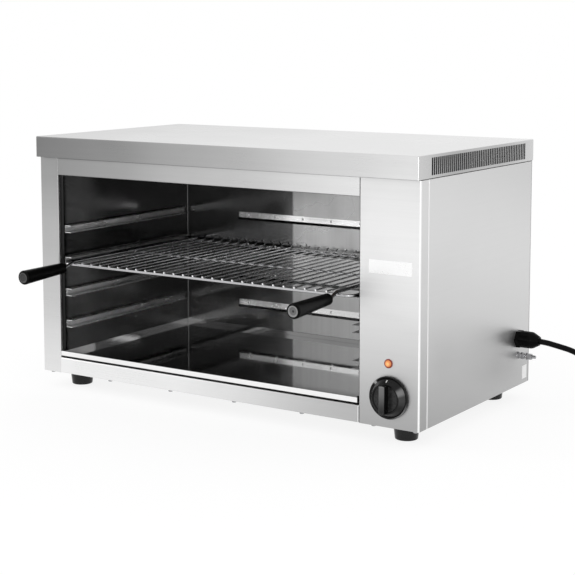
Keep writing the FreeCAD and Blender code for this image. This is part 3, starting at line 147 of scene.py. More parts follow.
class MELTER_PG_trim(bpy.types.PropertyGroup):
    knob_black: grey("Knob black", "Moulded knob", 0.004)
    # Knob sheen is painted: highlights on the flange and bar, a grey reflection on the dial
    knob_painted_sheen: grey("Knob sheen", "Worn and turned places of the knob", 0.60)
    grip_black: grey("Grip black", "Moulded rack grips", 0.003)
    cap_grey: grey("Cap grey", "Discs in the ends of the grips", 0.20)
    rubber_black: grey("Rubber black", "Feet", 0.006)
    gland_black: grey("Gland black", "Cable gland and its nuts", 0.003)
    cord_black: grey("Cord black", "Sheath of the supply cord", 0.005)
    amber: colour("Amber", "Pilot lamp lens", (0.95, 0.38, 0.10))
    glow_hot: colour("Lens middle", "Glow in its middle", (1.0, 0.58, 0.22))
    glow_dim: colour("Lens edge", "Glow at its edge", (0.25, 0.05, 0.01))
    glow: amount("Lens glow", "Strength of the glow", 1.3)
    lamp_red: colour("Lamp red", "Rim of the pilot lamp", (0.30, 0.03, 0.02))
    wire_brown: colour("Wire brown", "Sleeves of the inner wires", (0.42, 0.20, 0.09))
    tie_grey: colour("Tie grey", "Tie round the coiled cord", (0.55, 0.55, 0.54))
    pointer_white: colour("Pointer white", "Paint of the knob's pointer", (0.82, 0.82, 0.80))
    pale_moulding: colour("Pale moulding", "Electrical mouldings", (0.62, 0.60, 0.55))
    plate_white: grey("Plate white", "Bare plate and sticker", 0.98)
    rivet_count: tally("Rivets", "Rivets on each rear rail", 6)
    rivet_width: length("Rivet width", "Width of a rivet head", 0.0052)
    rivet_height: length("Rivet height", "Height of a rivet head", 0.0011)
    rivet_margin: length("Rivet margin", "From the rail's end to the first rivet", 0.022)
    wire_count: tally("Wires", "Wires of the rack", 26)
    wire_width: length("Wire width", "Diameter of a rack wire", 0.003)
    rod_width: length("Rod width", "Diameter of a frame rod", 0.005)
    bead_width: length("Weld bead width", "Width of a weld bead", 0.0042)
    pointer_width: length("Pointer width", "Width of the paint", 0.0017)
    pointer_length: length("Pointer length", "Length of the paint", 0.0052)
    pointer_film: length("Pointer film", "Thickness of the paint", 0.0006)
    pointer_reach: length("Pointer reach", "From the knob's axis to the paint", 0.0282)
    pointer_lift: length("Pointer lift", "From the back of the knob to the paint", 0.0081)
    pointer_slope: bearing("Pointer slope", "Lean of the paint on the knob's cone", 0.93)
    plate_width: length("Plate width", "Width of the bare plate", 0.078)
    plate_height: length("Plate height", "Height of the bare plate", 0.022)
    plate_rise: length("Plate rise", "Middle of the plate above the worktop", 0.2888)
    plate_inset: length("Plate inset", "From the panel's left edge to the plate", 0.0178)
    sticker_width: length("Sticker width", "Width of the sticker", 0.019)
    sticker_height: length("Sticker height", "Height of the sticker", 0.024)
    sticker_rise: length("Sticker rise", "Middle of the sticker above the worktop", 0.049)
    sticker_inset: length("Sticker inset", "From the panel's rear edge to the sticker", 0.009)
    film: length("Film", "Thickness of the plate and the sticker", 0.0003)


class MELTER_PG_cord(bpy.types.PropertyGroup):
    diameter: length("Diameter", "Diameter of the cord", 0.010)
    coil_radius: length("Coil radius", "Radius of the coil's outer turn", 0.065)
    coil_pitch: length("Coil pitch", "From one turn to the next", 0.0107)
    coil_turns: amount("Turns", "Turns in the coil", 4.5)
    points_per_turn: tally("Points", "Points in each turn", 16)


# Shader groups shared by the finishes

def add(tree, kind, **settings):
    node = tree.nodes.new(kind)
    for key, value in settings.items():
        setattr(node, key, value)
    return node


def feed(value, socket):
    """Link an output to the socket, or set the socket to a plain value."""
    if isinstance(value, bpy.types.NodeSocket):
        socket.id_data.links.new(value, socket)
    else:
        socket.default_value = value


def set_inputs(node, **values):
    for key, value in values.items():
        feed(value, node.inputs[key.replace("_", " ")])
    return node


def new_group(name, vectors, numbers, outputs):
    """Group with vector inputs, then number inputs, and number outputs."""
    group = bpy.data.node_groups.new(name, "ShaderNodeTree")
    for labels, side, kind in ((vectors, "INPUT", "Vector"), (numbers, "INPUT", "Float"),
                               (outputs, "OUTPUT", "Float")):
        for label in labels:
            group.interface.new_socket(label, in_out=side, socket_type=f"NodeSocket{kind}")
    return group, add(group, "NodeGroupInput"), add(group, "NodeGroupOutput")


def noise(tree, position, scale, detail=4.0, roughness=0.55):
    node = add(tree, "ShaderNodeTexNoise")
    set_inputs(node, Vector=position, Scale=scale, Detail=detail, Roughness=roughness)
    return node.outputs["Fac"]


def remap(tree, value, low, high, to_low=0.0, to_high=1.0, smooth=True):
    kind = "SMOOTHSTEP" if smooth else "LINEAR"
    node = add(tree, "ShaderNodeMapRange", interpolation_type=kind)
    set_inputs(node, Value=value, From_Min=low, From_Max=high, To_Min=to_low, To_Max=to_high)
    return node.outputs["Result"]


def between(tree, share, low, high, smooth=True):
    """Number that goes from low to high as the share goes from 0 to 1."""
    return remap(tree, share, 0.0, 1.0, low, high, smooth)


def combine(tree, operation, first, second=0.0):
    node = add(tree, "ShaderNodeMath", operation=operation)
    feed(first, node.inputs[0])
    feed(second, node.inputs[1])
    return node.outputs[0]


def combine_vectors(tree, operation, first, second):
    """Result of a vector operation: a number for a dot product or a distance."""
    node = add(tree, "ShaderNodeVectorMath", operation=operation)
    feed(first, node.inputs[0])
    feed(second, node.inputs[1])
    return node.outputs["Value" if operation in ("DOT_PRODUCT", "DISTANCE") else "Vector"]


def blend_colours(tree, share, first, second):
    node = add(tree, "ShaderNodeMix", data_type="RGBA")
    ports = [socket for socket in node.inputs if socket.type == "RGBA"]
    for socket, value in zip(ports, (first, second)):
        linked = isinstance(value, bpy.types.NodeSocket)
        feed(value if linked else (*value, 1.0), socket)
    set_inputs(node, Factor=share)
    return next(socket for socket in node.outputs if socket.type == "RGBA")


def make_grain_group():
    """Streaks of a brushed sheet: they run along the axis whose stretch is smallest."""
    group, start, end = new_group("brushed grain", ["Position", "Stretch"], [],
                                  ["Streaks", "Height"])
    stretched = combine_vectors(group, "MULTIPLY", start.outputs["Position"],
                                start.outputs["Stretch"])
    coarse = noise(group, stretched, scale=0.35, detail=3.0)
    fine = noise(group, stretched, scale=1.6, detail=5.0, roughness=0.7)
    fine_share = 0.55
    streaks = combine(group, "ADD", combine(group, "MULTIPLY", coarse, 1.0 - fine_share),
                      combine(group, "MULTIPLY", fine, fine_share))
    set_inputs(end, Streaks=remap(group, streaks, low=0.34, high=0.66), Height=fine)


def make_haze_group():
    """Soft cloudy patches of handling and heat."""
    group, start, end = new_group("soft haze", ["Position"], ["Size"], ["Haze"])
    cloud = noise(group, start.outputs["Position"], start.outputs["Size"], detail=3.0,
                  roughness=0.5)
    set_inputs(end, Haze=remap(group, cloud, low=0.35, high=0.65))


def make_fade_group():
    """Smooth change from 0 to 1 along a direction."""
    group, start, end = new_group("fade", ["Position", "Direction"], ["Start", "End"], ["Mask"])
    along = combine_vectors(group, "DOT_PRODUCT", start.outputs["Position"],
                            start.outputs["Direction"])
    set_inputs(end, Mask=remap(group, along, start.outputs["Start"], start.outputs["End"]))


def make_pebble_group():
    """Fine pebbled skin of mouldings and rubber, with a little dust."""
    group, start, end = new_group("pebbled skin", ["Position"], ["Size"], ["Height", "Dust"])
    pebbles = noise(group, start.outputs["Position"], start.outputs["Size"], detail=2.0,
                    roughness=0.5)
    dust = noise(group, start.outputs["Position"], scale=38.0, detail=5.0, roughness=0.7)
    set_inputs(end, Height=pebbles, Dust=remap(group, dust, low=0.48, high=0.78))


def scaled(tone, share):
    return tuple(value * share for value in tone)


def shade_along(tree, position, direction, start, end, shares, base):
    """Colour that runs through shares of a base colour between two places."""
    along = combine_vectors(tree, "DOT_PRODUCT", position, direction)
    ramp = add(tree, "ShaderNodeValToRGB")
    ramp.color_ramp.interpolation = "CARDINAL"
    stops = ramp.color_ramp.elements
    while len(stops) < len(shares):
        stops.new(position=0.5)
    for number, share in enumerate(shares):
        stops[number].position = number / (len(shares) - 1)
        stops[number].color = (*scaled(base, share), 1.0)
    set_inputs(ramp, Fac=remap(tree, along, start, end, smooth=False))
    return ramp.outputs["Color"]


def facing(tree, direction):
    """1 on faces that face along the direction, 0 on the others."""
    normal = add(tree, "ShaderNodeNewGeometry").outputs["Normal"]
    along = combine_vectors(tree, "DOT_PRODUCT", normal, direction)
    return remap(tree, along, low=0.55, high=0.85)


def place(tree, name, position, **values):
    node = add(tree, "ShaderNodeGroup", node_tree=bpy.data.node_groups[name])
    return set_inputs(node, Position=position, **values)


def fade(tree, position, direction, start, end):
    node = place(tree, "fade", position, Direction=direction, Start=start, End=end)
    return node.outputs["Mask"]


# Materials

def new_finish(name, metallic=0.0, roughness=0.4, coat=0.0, gloss=0.5):
    material = bpy.data.materials.new(name)
    material.use_nodes = True
    tree = material.node_tree
    shader = tree.nodes["Principled BSDF"]
    set_inputs(shader, Metallic=metallic, Roughness=roughness, Coat_Weight=coat,
               Specular_IOR_Level=gloss)
    position = add(tree, "ShaderNodeTexCoord").outputs["Object"]
    return material, tree, shader, position


def add_bump(tree, shader, height, strength):
    bump = add(tree, "ShaderNodeBump")
    set_inputs(bump, Height=height, Strength=strength, Distance=0.2 * MM)
    set_inputs(shader, Normal=bump.outputs["Normal"])


def brighten(tree, tone, level):
    """The tone with its brightness multiplied by the level."""
    node = add(tree, "ShaderNodeHueSaturation")
    return set_inputs(node, Color=tone, Value=level).outputs["Color"]


def finish_steel(name, base, faces, stretch=(6, 420, 420), roughness=(0.28, 0.36), streaks=0.035,
                 bump=0.015, strips=()):
    """Brushed sheet whose tone changes along each of its faces as painted reflection and shade.

    The first entry of faces is (direction, start, end, shares) for the whole sheet, and
    the others are (normal, direction, start, end, shares) for the faces along a normal.
    Each entry of strips is (direction, start, end, share) for a painted highlight or shade strip
    beyond the end.
    """
    material, tree, shader, position = new_finish(name, metallic=1.0)
    tone = shade_along(tree, position, *faces[0], base)
    for normal, *rest in faces[1:]:
        face_tone = shade_along(tree, position, *rest, base)
        tone = blend_colours(tree, facing(tree, normal), tone, face_tone)
    for direction, start, end, share in strips:
        mask = fade(tree, position, direction, start, end)
        tone = blend_colours(tree, mask, tone, scaled(base, share))
    grain = place(tree, "brushed grain", position, Stretch=stretch)
    haze = place(tree, "soft haze", position, Size=5.0).outputs["Haze"]
    level = combine(tree, "ADD",
                    between(tree, grain.outputs["Streaks"], -streaks, streaks, smooth=False),
                    between(tree, haze, 1.0 - streaks, 1.0 + streaks))
    ripple = 0.03
    rough = combine(tree, "ADD", between(tree, haze, *roughness),
                    between(tree, grain.outputs["Streaks"], -ripple, ripple, smooth=False))
    set_inputs(shader, Base_Color=brighten(tree, tone, level), Roughness=rough)
    add_bump(tree, shader, grain.outputs["Height"], bump)
    return material


def finish_liner(name, dark, pale):
    """Bright-rolled liner with painted reflection: near black at the left, paler to the right of
    the back wall, with painted shade towards the top and at the mouth.
    """
    reflection_edge_share = 0.415
    upright_shade_shares = (0.85, 0.92, 0.95, 0.70, 0.38)
    reflection_edge_strip = (-2.0 * MM, 4.0 * MM)
    mouth_shade_share = 0.2
    mouth_shade_strip = (12.0 * MM, 4.0 * MM)
    material, tree, shader, position = new_finish(name, metallic=1.0)
    low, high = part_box("cavity_liner")
    reflection_edge = low.x + (high.x - low.x) * reflection_edge_share
    # Painted reflection: the liner dark at the left and pale to the right of the edge
    to_right = fade(tree, position, RIGHT, *(reflection_edge + edge for edge in reflection_edge_strip))
    shadow = shade_along(tree, position, UP, low.z, high.z, upright_shade_shares, dark)
    tone = blend_colours(tree, to_right, shadow, pale)
    # Painted shade near the mouth of the cavity
    mouth = fade(tree, position, BACK, *(low.y + edge for edge in mouth_shade_strip))
    tone = blend_colours(tree, mouth, tone, scaled(dark, mouth_shade_share))
    haze = place(tree, "soft haze", position, Size=7.0).outputs["Haze"]
    cloud = place(tree, "soft haze", position, Size=3.0).outputs["Haze"]
    grain = place(tree, "brushed grain", position, Stretch=(180, 180, 3))
    level = combine(tree, "MULTIPLY", between(tree, cloud, low=0.88, high=1.12),
                    between(tree, grain.outputs["Streaks"], low=0.95, high=1.05, smooth=False))
    added_roughness = 0.14
    rough = combine(tree, "ADD", between(tree, haze, low=0.12, high=0.22),
                    combine(tree, "MULTIPLY", to_right, added_roughness))
    set_inputs(shader, Base_Color=brighten(tree, tone, level), Roughness=rough)
    add_bump(tree, shader, grain.outputs["Height"], strength=0.03)
    return material


def finish_plated(name, tone, roughness=(0.10, 0.22), stain=(0.35, 0.33, 0.31)):
    """Plated rod or fastener with faint stains."""
    material, tree, shader, position = new_finish(name, metallic=1.0)
    haze = place(tree, "soft haze", position, Size=24.0).outputs["Haze"]
    patches = noise(tree, position, scale=60.0, detail=5.0, roughness=0.7)
    stained = blend_colours(tree, remap(tree, patches, low=0.58, high=0.80), tone, stain)
    set_inputs(shader, Base_Color=stained, Roughness=between(tree, haze, *roughness))
    return material


def finish_moulding(name, tone, roughness=(0.25, 0.38), pebble=900.0, bump=0.12, dust=0.06,
                    gloss=0.5, metallic=0.0):
    """Moulded plastic or rubber with a fine skin."""
    dust_grey = 0.35
    material, tree, shader, position = new_finish(name, metallic=metallic, gloss=gloss)
    skin = place(tree, "pebbled skin", position, Size=pebble)
    dusty = skin.outputs["Dust"]
    pale = tuple(value + (dust_grey - value) * dust for value in tone)
    set_inputs(shader, Base_Color=blend_colours(tree, dusty, tone, pale),
               Roughness=between(tree, dusty, *roughness))
    add_bump(tree, shader, skin.outputs["Height"], bump)
    return material


# Painted sheen on the knob's flange, as highlight arcs: middle and half width in radians,
# inner and outer reach as shares of the knob's radius, and strength
KNOB_ARC_SHARES = (
    (0.45, 0.34, 0.70, 0.90, 0.45),
    (0.15, 0.75, 0.72, 0.90, 0.12),
    (2.36, 0.14, 0.88, 0.97, 1.0),
    (-0.80, 0.75, 0.955, 0.985, 0.55),
)


def knob_arc(tree, angle, reach, radius, middle, width, inner, outer):
    """Soft-edged arc: 1 inside it, 0 outside."""
    soft_share = 0.03
    full_share = 0.15
    away = combine(tree, "ABSOLUTE", combine(tree, "SUBTRACT", angle, middle))
    ring = combine(tree, "MULTIPLY",
                   remap(tree, reach, radius * (inner - soft_share), radius * inner),
                   remap(tree, reach, radius * (outer + soft_share), radius * outer))
    return combine(tree, "MULTIPLY", ring, remap(tree, away, width, width * full_share))


def finish_knob(name, tone, sheen):
    """Black knob with painted sheen on its flange, a painted grey reflection on its dial and a
    painted highlight on the face of its bar.
    """
    dial_share = 0.60
    dial_edge_share = 0.66
    lit_share = 0.60
    bar_start = 2.5 * MM
    bar_end = 1.5 * MM
    low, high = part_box("control_knob")
    radius = (high.x - low.x) / 2
    material, tree, shader, position = new_finish(name, roughness=0.2, gloss=0.22)
    offset = combine_vectors(tree, "SUBTRACT", position, (low + high) / 2)
    parts = set_inputs(add(tree, "ShaderNodeSeparateXYZ"), Vector=offset)
    across, up = parts.outputs["X"], parts.outputs["Z"]
    angle = combine(tree, "ARCTAN2", up, across)
    squares = (combine(tree, "MULTIPLY", across, across), combine(tree, "MULTIPLY", up, up))
    reach = combine(tree, "SQRT", combine(tree, "ADD", *squares))
    # Painted grey reflection on the dial's front faces, with a fine speckle
    dial = combine(tree, "MULTIPLY", facing(tree, FRONT),
                   remap(tree, reach, radius * dial_edge_share, radius * dial_share))
    speckle = noise(tree, position, scale=260.0, detail=3.0)
    grain = remap(tree, speckle, low=0.3, high=0.7, to_low=0.03, to_high=0.07)
    painted_sheen = combine(tree, "MULTIPLY", dial, grain)
    # Painted highlight arcs on the flange
    for *arc_shape, strength in KNOB_ARC_SHARES:
        arc = knob_arc(tree, angle, reach, radius, *arc_shape)
        painted_sheen = combine(tree, "MAXIMUM", painted_sheen, combine(tree, "MULTIPLY", arc, strength))
    # Painted highlight on the face of the bar, paler towards the top
    bar = fade(tree, position, FRONT, -low.y - bar_start, -low.y - bar_end)
    lit_reach = radius * lit_share
    lit = remap(tree, up, -lit_reach, lit_reach, to_low=0.04, to_high=0.42)
    painted_sheen = combine(tree, "MAXIMUM", painted_sheen, combine(tree, "MULTIPLY", bar, lit))
    set_inputs(shader, Base_Color=blend_colours(tree, painted_sheen, tone, sheen))
    return material


def finish_caps(name, tone):
    """End discs with painted light: dark at the left grip, grey at the right, with a painted
    highlight on the rim and darker in the middle.
    """
    disc_light_shares = (0.12, 1.0)
    rim_highlight_shares = (0.35, 2.2)
    rim_reach_shares = (0.68, 0.86)
    dot_reach_shares = (0.30, 0.16)
    dot_share = 0.1
    low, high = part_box("handle_end_caps")
    radius = (high.z - low.z) / 2
    material, tree, shader, position = new_finish(name, roughness=0.4)
    flat = combine_vectors(tree, "MULTIPLY", position, (1, 0, 1))
    reaches = [combine_vectors(tree, "DISTANCE", flat, (middle, 0, low.z + radius))
               for middle in (low.x + radius, high.x - radius)]
    reach = combine(tree, "MINIMUM", *reaches)
    # Painted light: the left disc dark and the right grey, and a painted highlight on the rim
    disc = shade_along(tree, position, RIGHT, low.x, high.x, disc_light_shares, tone)
    pale = shade_along(tree, position, RIGHT, low.x, high.x, rim_highlight_shares, tone)
    rim = remap(tree, reach, *scaled(rim_reach_shares, radius))
    disc = blend_colours(tree, rim, disc, pale)
    dot = remap(tree, reach, *scaled(dot_reach_shares, radius))
    set_inputs(shader, Base_Color=blend_colours(tree, dot, disc, scaled(tone, dot_share)))
    return material


def finish_lamp(name, trim):
    """Amber lens that glows a little in its middle."""
    edge_share = 0.55
    glow_edge = 6.5 * MM
    glow_core = 1.0 * MM
    amber = trim.amber[:]
    low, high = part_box("pilot_lens")
    material, tree, shader, position = new_finish(name, roughness=0.12, coat=0.6)
    reach = combine_vectors(tree, "DISTANCE", position, (low + high) / 2)
    glow = remap(tree, reach, glow_edge, glow_core)
    set_inputs(shader, Base_Color=blend_colours(tree, glow, scaled(amber, edge_share), amber),
               Emission_Color=blend_colours(tree, glow, trim.glow_dim[:], trim.glow_hot[:]),
               Emission_Strength=trim.glow)
    return material


def finish_element(name, brown, blue):
    """Heat-dulled sheath with brown and blue tints."""
    material, tree, shader, position = new_finish(name, metallic=0.85)
    cloud = place(tree, "soft haze", position, Size=16.0).outputs["Haze"]
    fine = noise(tree, position, scale=90.0)
    rough = remap(tree, fine, low=0.3, high=0.7, to_low=0.42, to_high=0.62)
    set_inputs(shader, Base_Color=blend_colours(tree, cloud, brown, blue), Roughness=rough)
    add_bump(tree, shader, fine, strength=0.15)
    return material


def paint(names, material):
    for name in names:
        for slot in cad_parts[name].material_slots:
            slot.material = material


def like(start):
    return [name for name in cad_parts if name.startswith(start)]


# Mesh pieces

def finished_piece(name, mesh, material, body):
    bmesh.ops.recalc_face_normals(mesh, faces=mesh.faces)
    data = bpy.data.meshes.new(name)
    mesh.to_mesh(data)
    mesh.free()
    data.materials.append(material)
    piece = bpy.data.objects.new(name, data)
    bpy.context.scene.collection.objects.link(piece)
    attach(piece, body)


def add_slab(mesh, low, high, bevel):
    made = bmesh.ops.create_cube(mesh, size=1.0)
    bmesh.ops.scale(mesh, vec=high - low, verts=made["verts"])
    bmesh.ops.translate(mesh, vec=(low + high) / 2, verts=made["verts"])
    edges = {edge for vert in made["verts"] for edge in vert.link_edges}
    bmesh.ops.bevel(mesh, geom=list(edges), offset=bevel, segments=2, affect="EDGES",
                    profile=0.5, material=-1)


def add_dome(mesh, centre, axis, width, height):
    """Half of a flattened ball whose flat side faces against the axis."""
    turn = Vector(UP).rotation_difference(Vector(axis)).to_matrix().to_4x4()
    size = Matrix.Diagonal((width / 2, width / 2, height, 1))
    made = bmesh.ops.create_uvsphere(mesh, u_segments=16, v_segments=8, radius=1.0,
                                     matrix=Matrix.Translation(centre) @ turn @ size)
    around = {edge for vert in made["verts"] for edge in vert.link_edges}
    faces = {face for vert in made["verts"] for face in vert.link_faces}
    cut = bmesh.ops.bisect_plane(mesh, geom=made["verts"] + list(around) + list(faces),
                                 plane_co=centre, plane_no=axis, clear_inner=True)
    rim = [item for item in cut["geom_cut"] if isinstance(item, bmesh.types.BMEdge)]
    bmesh.ops.holes_fill(mesh, edges=rim, sides=0)


# Operators

class MELTER_OT_camera(bpy.types.Operator):
    """Set the camera at the photograph's angle"""
    bl_idname = "melter.camera"
    bl_label = "Camera"

    def execute(self, context):
        view = context.scene.melter_view
        data = bpy.data.cameras.new("camera")
        data.lens = view.lens
        data.shift_y = view.shift
        camera = bpy.data.objects.new("camera", data)
        camera.location = view.place
        camera.rotation_euler = (pi / 2 - view.tilt, 0.0, view.turn)
        context.scene.collection.objects.link(camera)
        context.scene.camera = camera
        return {"FINISHED"}


class MELTER_OT_stage(bpy.types.Operator):
    """Lay the pale floor and set up the soft light"""
    bl_idname = "melter.stage"
    bl_label = "Stage"

    def execute(self, context):
        stage = context.scene.melter_stage
        self.light_room(context, stage)
        self.lay_floor(context, stage)
        for side in ("left", "front"):
            self.set_lamp(context, stage, side)
        context.scene.view_settings.view_transform = "Standard"
        return {"FINISHED"}

    def set_lamp(self, context, stage, side):
        data = bpy.data.lights.new(f"{side} lamp", "AREA")
        data.shape = "SQUARE"
        data.size = getattr(stage, f"{side}_size")
        data.energy = getattr(stage, f"{side}_power")
        lamp = bpy.data.objects.new(f"{side} lamp", data)
        lamp.location = getattr(stage, f"{side}_place")
        aim = Vector(getattr(stage, f"{side}_aim")) - lamp.location
        lamp.rotation_euler = aim.to_track_quat("-Z", "Y").to_euler()
        lamp.visible_camera = False
        context.scene.collection.objects.link(lamp)

    def light_room(self, context, stage):
        world = bpy.data.worlds.new("room")
        context.scene.world = world
        world.use_nodes = True
        tree = world.node_tree
        even = set_inputs(tree.nodes["Background"], Color=(1, 1, 1, 1), Strength=stage.room_level)
        white = set_inputs(add(tree, "ShaderNodeBackground"), Color=(1, 1, 1, 1), Strength=1.0)
        mix = add(tree, "ShaderNodeMixShader")
        feed(seen_directly(tree), mix.inputs[0])
        feed(even.outputs[0], mix.inputs[1])
        feed(white.outputs[0], mix.inputs[2])
        set_inputs(tree.nodes["World Output"], Surface=mix.outputs[0])

    def lay_floor(self, context, stage):
        mesh = bmesh.new()
        bmesh.ops.create_grid(mesh, x_segments=1, y_segments=1, size=stage.floor_size / 2)
        data = bpy.data.meshes.new("floor")
        mesh.to_mesh(data)
        mesh.free()
        floor = bpy.data.objects.new("floor", data)
        floor.location.z = -stage.floor_drop
        context.scene.collection.objects.link(floor)
        material, tree, shader, _ = new_finish("pale floor", roughness=0.9, gloss=0.0)
        set_inputs(shader, Base_Color=(*stage.floor_grey, 1))
        glow = add(tree, "ShaderNodeEmission")
        set_inputs(glow, Strength=combine(tree, "MULTIPLY", seen_directly(tree), stage.floor_glow))
        both = add(tree, "ShaderNodeAddShader")
        feed(shader.outputs[0], both.inputs[0])
        feed(glow.outputs[0], both.inputs[1])
        set_inputs(tree.nodes["Material Output"], Surface=both.outputs[0])
        data.materials.append(material)


def seen_directly(tree):
    """1 for rays from the camera, from gloss and through glass."""
    path = add(tree, "ShaderNodeLightPath")
    seen = combine(tree, "MAXIMUM", path.outputs["Is Camera Ray"], path.outputs["Is Glossy Ray"])
    return combine(tree, "MAXIMUM", seen, path.outputs["Is Transmission Ray"])


class MELTER_OT_casing_finish(bpy.types.Operator):
    """Give each sheet of the casing its brushed steel, with painted reflection and shade"""
    bl_idname = "melter.casing_finish"
    bl_label = "Casing finish"

    # Shares of the sheet's colour from left to right, front to back or bottom to top, as painted
    # reflection and shade
    cover_shares = (0.50, 0.60, 0.70)
    cover_front_shares = (0.215, 0.365, 0.59, 0.845)
    cover_right_shares = (0.66, 0.49, 0.53, 0.56, 0.70)
    cover_top_shares = (0.66, 0.78, 0.83)
    header_shares = (0.29, 0.465, 0.70, 0.97)
    post_shares = (0.84, 0.70, 0.555, 0.465, 0.33)
    left_side_shares = (0.50, 0.60, 0.64)
    panel_shares = (0.50, 0.70, 0.74)
    panel_front_shares = (0.46, 0.615, 0.78, 0.91, 0.91, 0.84)
    panel_right_shares = (0.43, 0.55, 0.67, 0.735, 0.755, 0.79, 0.79)
    right_side_shares = (0.46, 0.61, 0.71, 0.755, 0.79, 0.76, 0.70)
    rail_shares = (0.95, 0.96, 0.91, 0.70, 0.53)
    rear_shares = (0.46, 0.60, 0.66)
    # Tone of the painted highlight along the side panel's front seam
    seam_highlight_share = 0.86
    # How far inside a sheet's edge its painted highlight strip begins and has its full tone
    corner_highlight_strip = (2.0 * MM, 1.5 * MM)
    seam_highlight_strip = (1.8 * MM, 1.2 * MM)
    rail_end_highlight_strip = (2.0 * MM, 1.2 * MM)

    def execute(self, context):
        steel = context.scene.melter_steel
        look = {"base": steel.sheet[:], "streaks": steel.streaks}
        self.finish_cover(look)
        self.finish_control_panel(look)
        self.finish_right_side(look)
        self.finish_other_sheets(look)
        return {"FINISHED"}

    def finish_cover(self, look):
        low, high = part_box("top_cover")
        paint(["top_cover"], finish_steel("cover steel", faces=[
            (RIGHT, low.x, high.x, self.cover_shares),
            (FRONT, RIGHT, low.x, high.x, self.cover_front_shares),
            (RIGHT, BACK, low.y, high.y, self.cover_right_shares),
            (UP, RIGHT, low.x, high.x, self.cover_top_shares)], **look))
        paint(["front_header"], finish_steel("header steel", faces=[
            (RIGHT, low.x, high.x, self.header_shares)], **look))

    def finish_control_panel(self, look):
        low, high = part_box("control_panel")
        # Painted highlight strip along the panel's front right corner
        diagonal = Vector((1, -1, 0)).normalized()
        corner = diagonal.dot(Vector((high.x, low.y, 0)))
        begin, full = self.corner_highlight_strip
        paint(["control_panel"], finish_steel("control panel steel", faces=[
            (UP, low.z, high.z, self.panel_shares),
            (FRONT, UP, low.z, high.z, self.panel_front_shares),
            (RIGHT, UP, low.z, high.z, self.panel_right_shares)],
            strips=[(diagonal, corner - begin, corner - full, 1.0)],
            roughness=(0.42, 0.48), **look))

    def finish_right_side(self, look):
        low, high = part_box("right_side_panel")
        # The painted reflection tone runs upwards and a little to the back
        lean = 0.25
        # Painted highlight strip along the panel's front seam
        begin, full = self.seam_highlight_strip
        paint(["right_side_panel"], finish_steel("right side steel", faces=[
            ((0, lean, 1), low.z + low.y * lean, high.z + high.y * lean,
             self.right_side_shares)],
            strips=[(BACK, low.y + begin, low.y + full, self.seam_highlight_share)],
            stretch=(420, 6, 420), roughness=(0.40, 0.46), bump=0.01, **look))

    def finish_other_sheets(self, look):
        low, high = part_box("control_panel")
        upright = (UP, low.z, high.z)
        paint(["left_side_panel"], finish_steel("left side steel", faces=[
            (*upright, self.post_shares), (LEFT, *upright, self.left_side_shares)], **look))
        paint(["rear_panel", "base_panel"], finish_steel("rear steel", faces=[
            (*upright, self.rear_shares)], **look))
        low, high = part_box("bottom_rail")
        # Painted highlight strip at the rail's right end
        begin, full = self.rail_end_highlight_strip
        paint(["bottom_rail"], finish_steel("rail steel", faces=[
            (RIGHT, low.x, high.x, self.rail_shares)],
            strips=[(RIGHT, high.x - begin, high.x - full, 1.0)], **look))


class MELTER_OT_cavity_finish(bpy.types.Operator):
    """Give the liner, runners, rails, tray and elements their finishes"""
    bl_idname = "melter.cavity_finish"
    bl_label = "Cavity finish"

    # Shares of each piece's steel from front to back, even along the rails, as painted reflection
    # and shade
    right_runner_shares = (0.30, 0.34)
    left_runner_shares = (0.9, 0.6, 0.45)
    runner_end_shares = (1.2, 1.2)
    runner_top_shares = (1.2, 0.9)
    rail_shares = (1.0, 1.0)
    lip_highlight_shares = (1.8, 1.0)
    tray_side_shares = (1.2, 1.3)
    tray_rear_shade_share = 0.6
    # How far inside the tray's edges its painted highlight and shade begin and end to change
    lip_strip = (1.0 * MM, 3.0 * MM)
    rear_strip = (4.0 * MM, 3.0 * MM)

    def execute(self, context):
        steel = context.scene.melter_steel
        liner = finish_liner("liner steel", steel.liner_dark[:], steel.liner_pale[:])
        paint(["cavity_liner", "cavity_roof", "cavity_floor", "element_hangers"], liner)
        self.finish_runners(steel)
        low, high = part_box("rear_rail_1")
        paint(like("rear_rail"), finish_steel("rear rail steel", steel.rail[:], [
            (RIGHT, low.x, high.x, self.rail_shares)],
            stretch=(8, 300, 300), roughness=(0.14, 0.20), bump=0.01))
        # Rails 2 and 3 take the liner's painted reflection and shade, so they sink into the back
        # wall
        paint(["rear_rail_2", "rear_rail_3"], liner)
        self.finish_tray(steel)
        paint(like("heating_element"), finish_element("element sheath", steel.sheath_brown[:],
                                                      steel.sheath_blue[:]))
        return {"FINISHED"}

    def finish_runners(self, steel):
        low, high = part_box("left_runner_1")
        deep = (BACK, low.y, high.y)
        look = {"stretch": (300, 8, 300), "roughness": (0.2, 0.34)}
        # Painted reflection and shade: the right runners darker, the left ones darker towards the
        # back and lighter on faces that face the front or up
        paint(like("right_runner"), finish_steel("right runner steel", steel.runner[:], [
            (*deep, self.right_runner_shares)], **look))
        paint(like("left_runner"), finish_steel("runner steel", steel.runner[:], [
            (*deep, self.left_runner_shares), (FRONT, *deep, self.runner_end_shares),
            (UP, *deep, self.runner_top_shares)], **look))

    def finish_tray(self, steel):
        low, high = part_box("crumb_tray")
        # Painted highlight on the front lip, painted shade along the rear edge
        lip_begin, lip_end = self.lip_strip
        rear_begin, rear_full = self.rear_strip
        paint(["crumb_tray"], finish_steel("tray steel", steel.tray[:], [
            (BACK, low.y + lip_begin, low.y + lip_end, self.lip_highlight_shares),
            (RIGHT, BACK, low.y, high.y, self.tray_side_shares)],
            strips=[(BACK, high.y - rear_begin, high.y - rear_full, self.tray_rear_shade_share)],
            stretch=(4, 260, 260), roughness=(0.04, 0.08), streaks=0.02, bump=0.005))


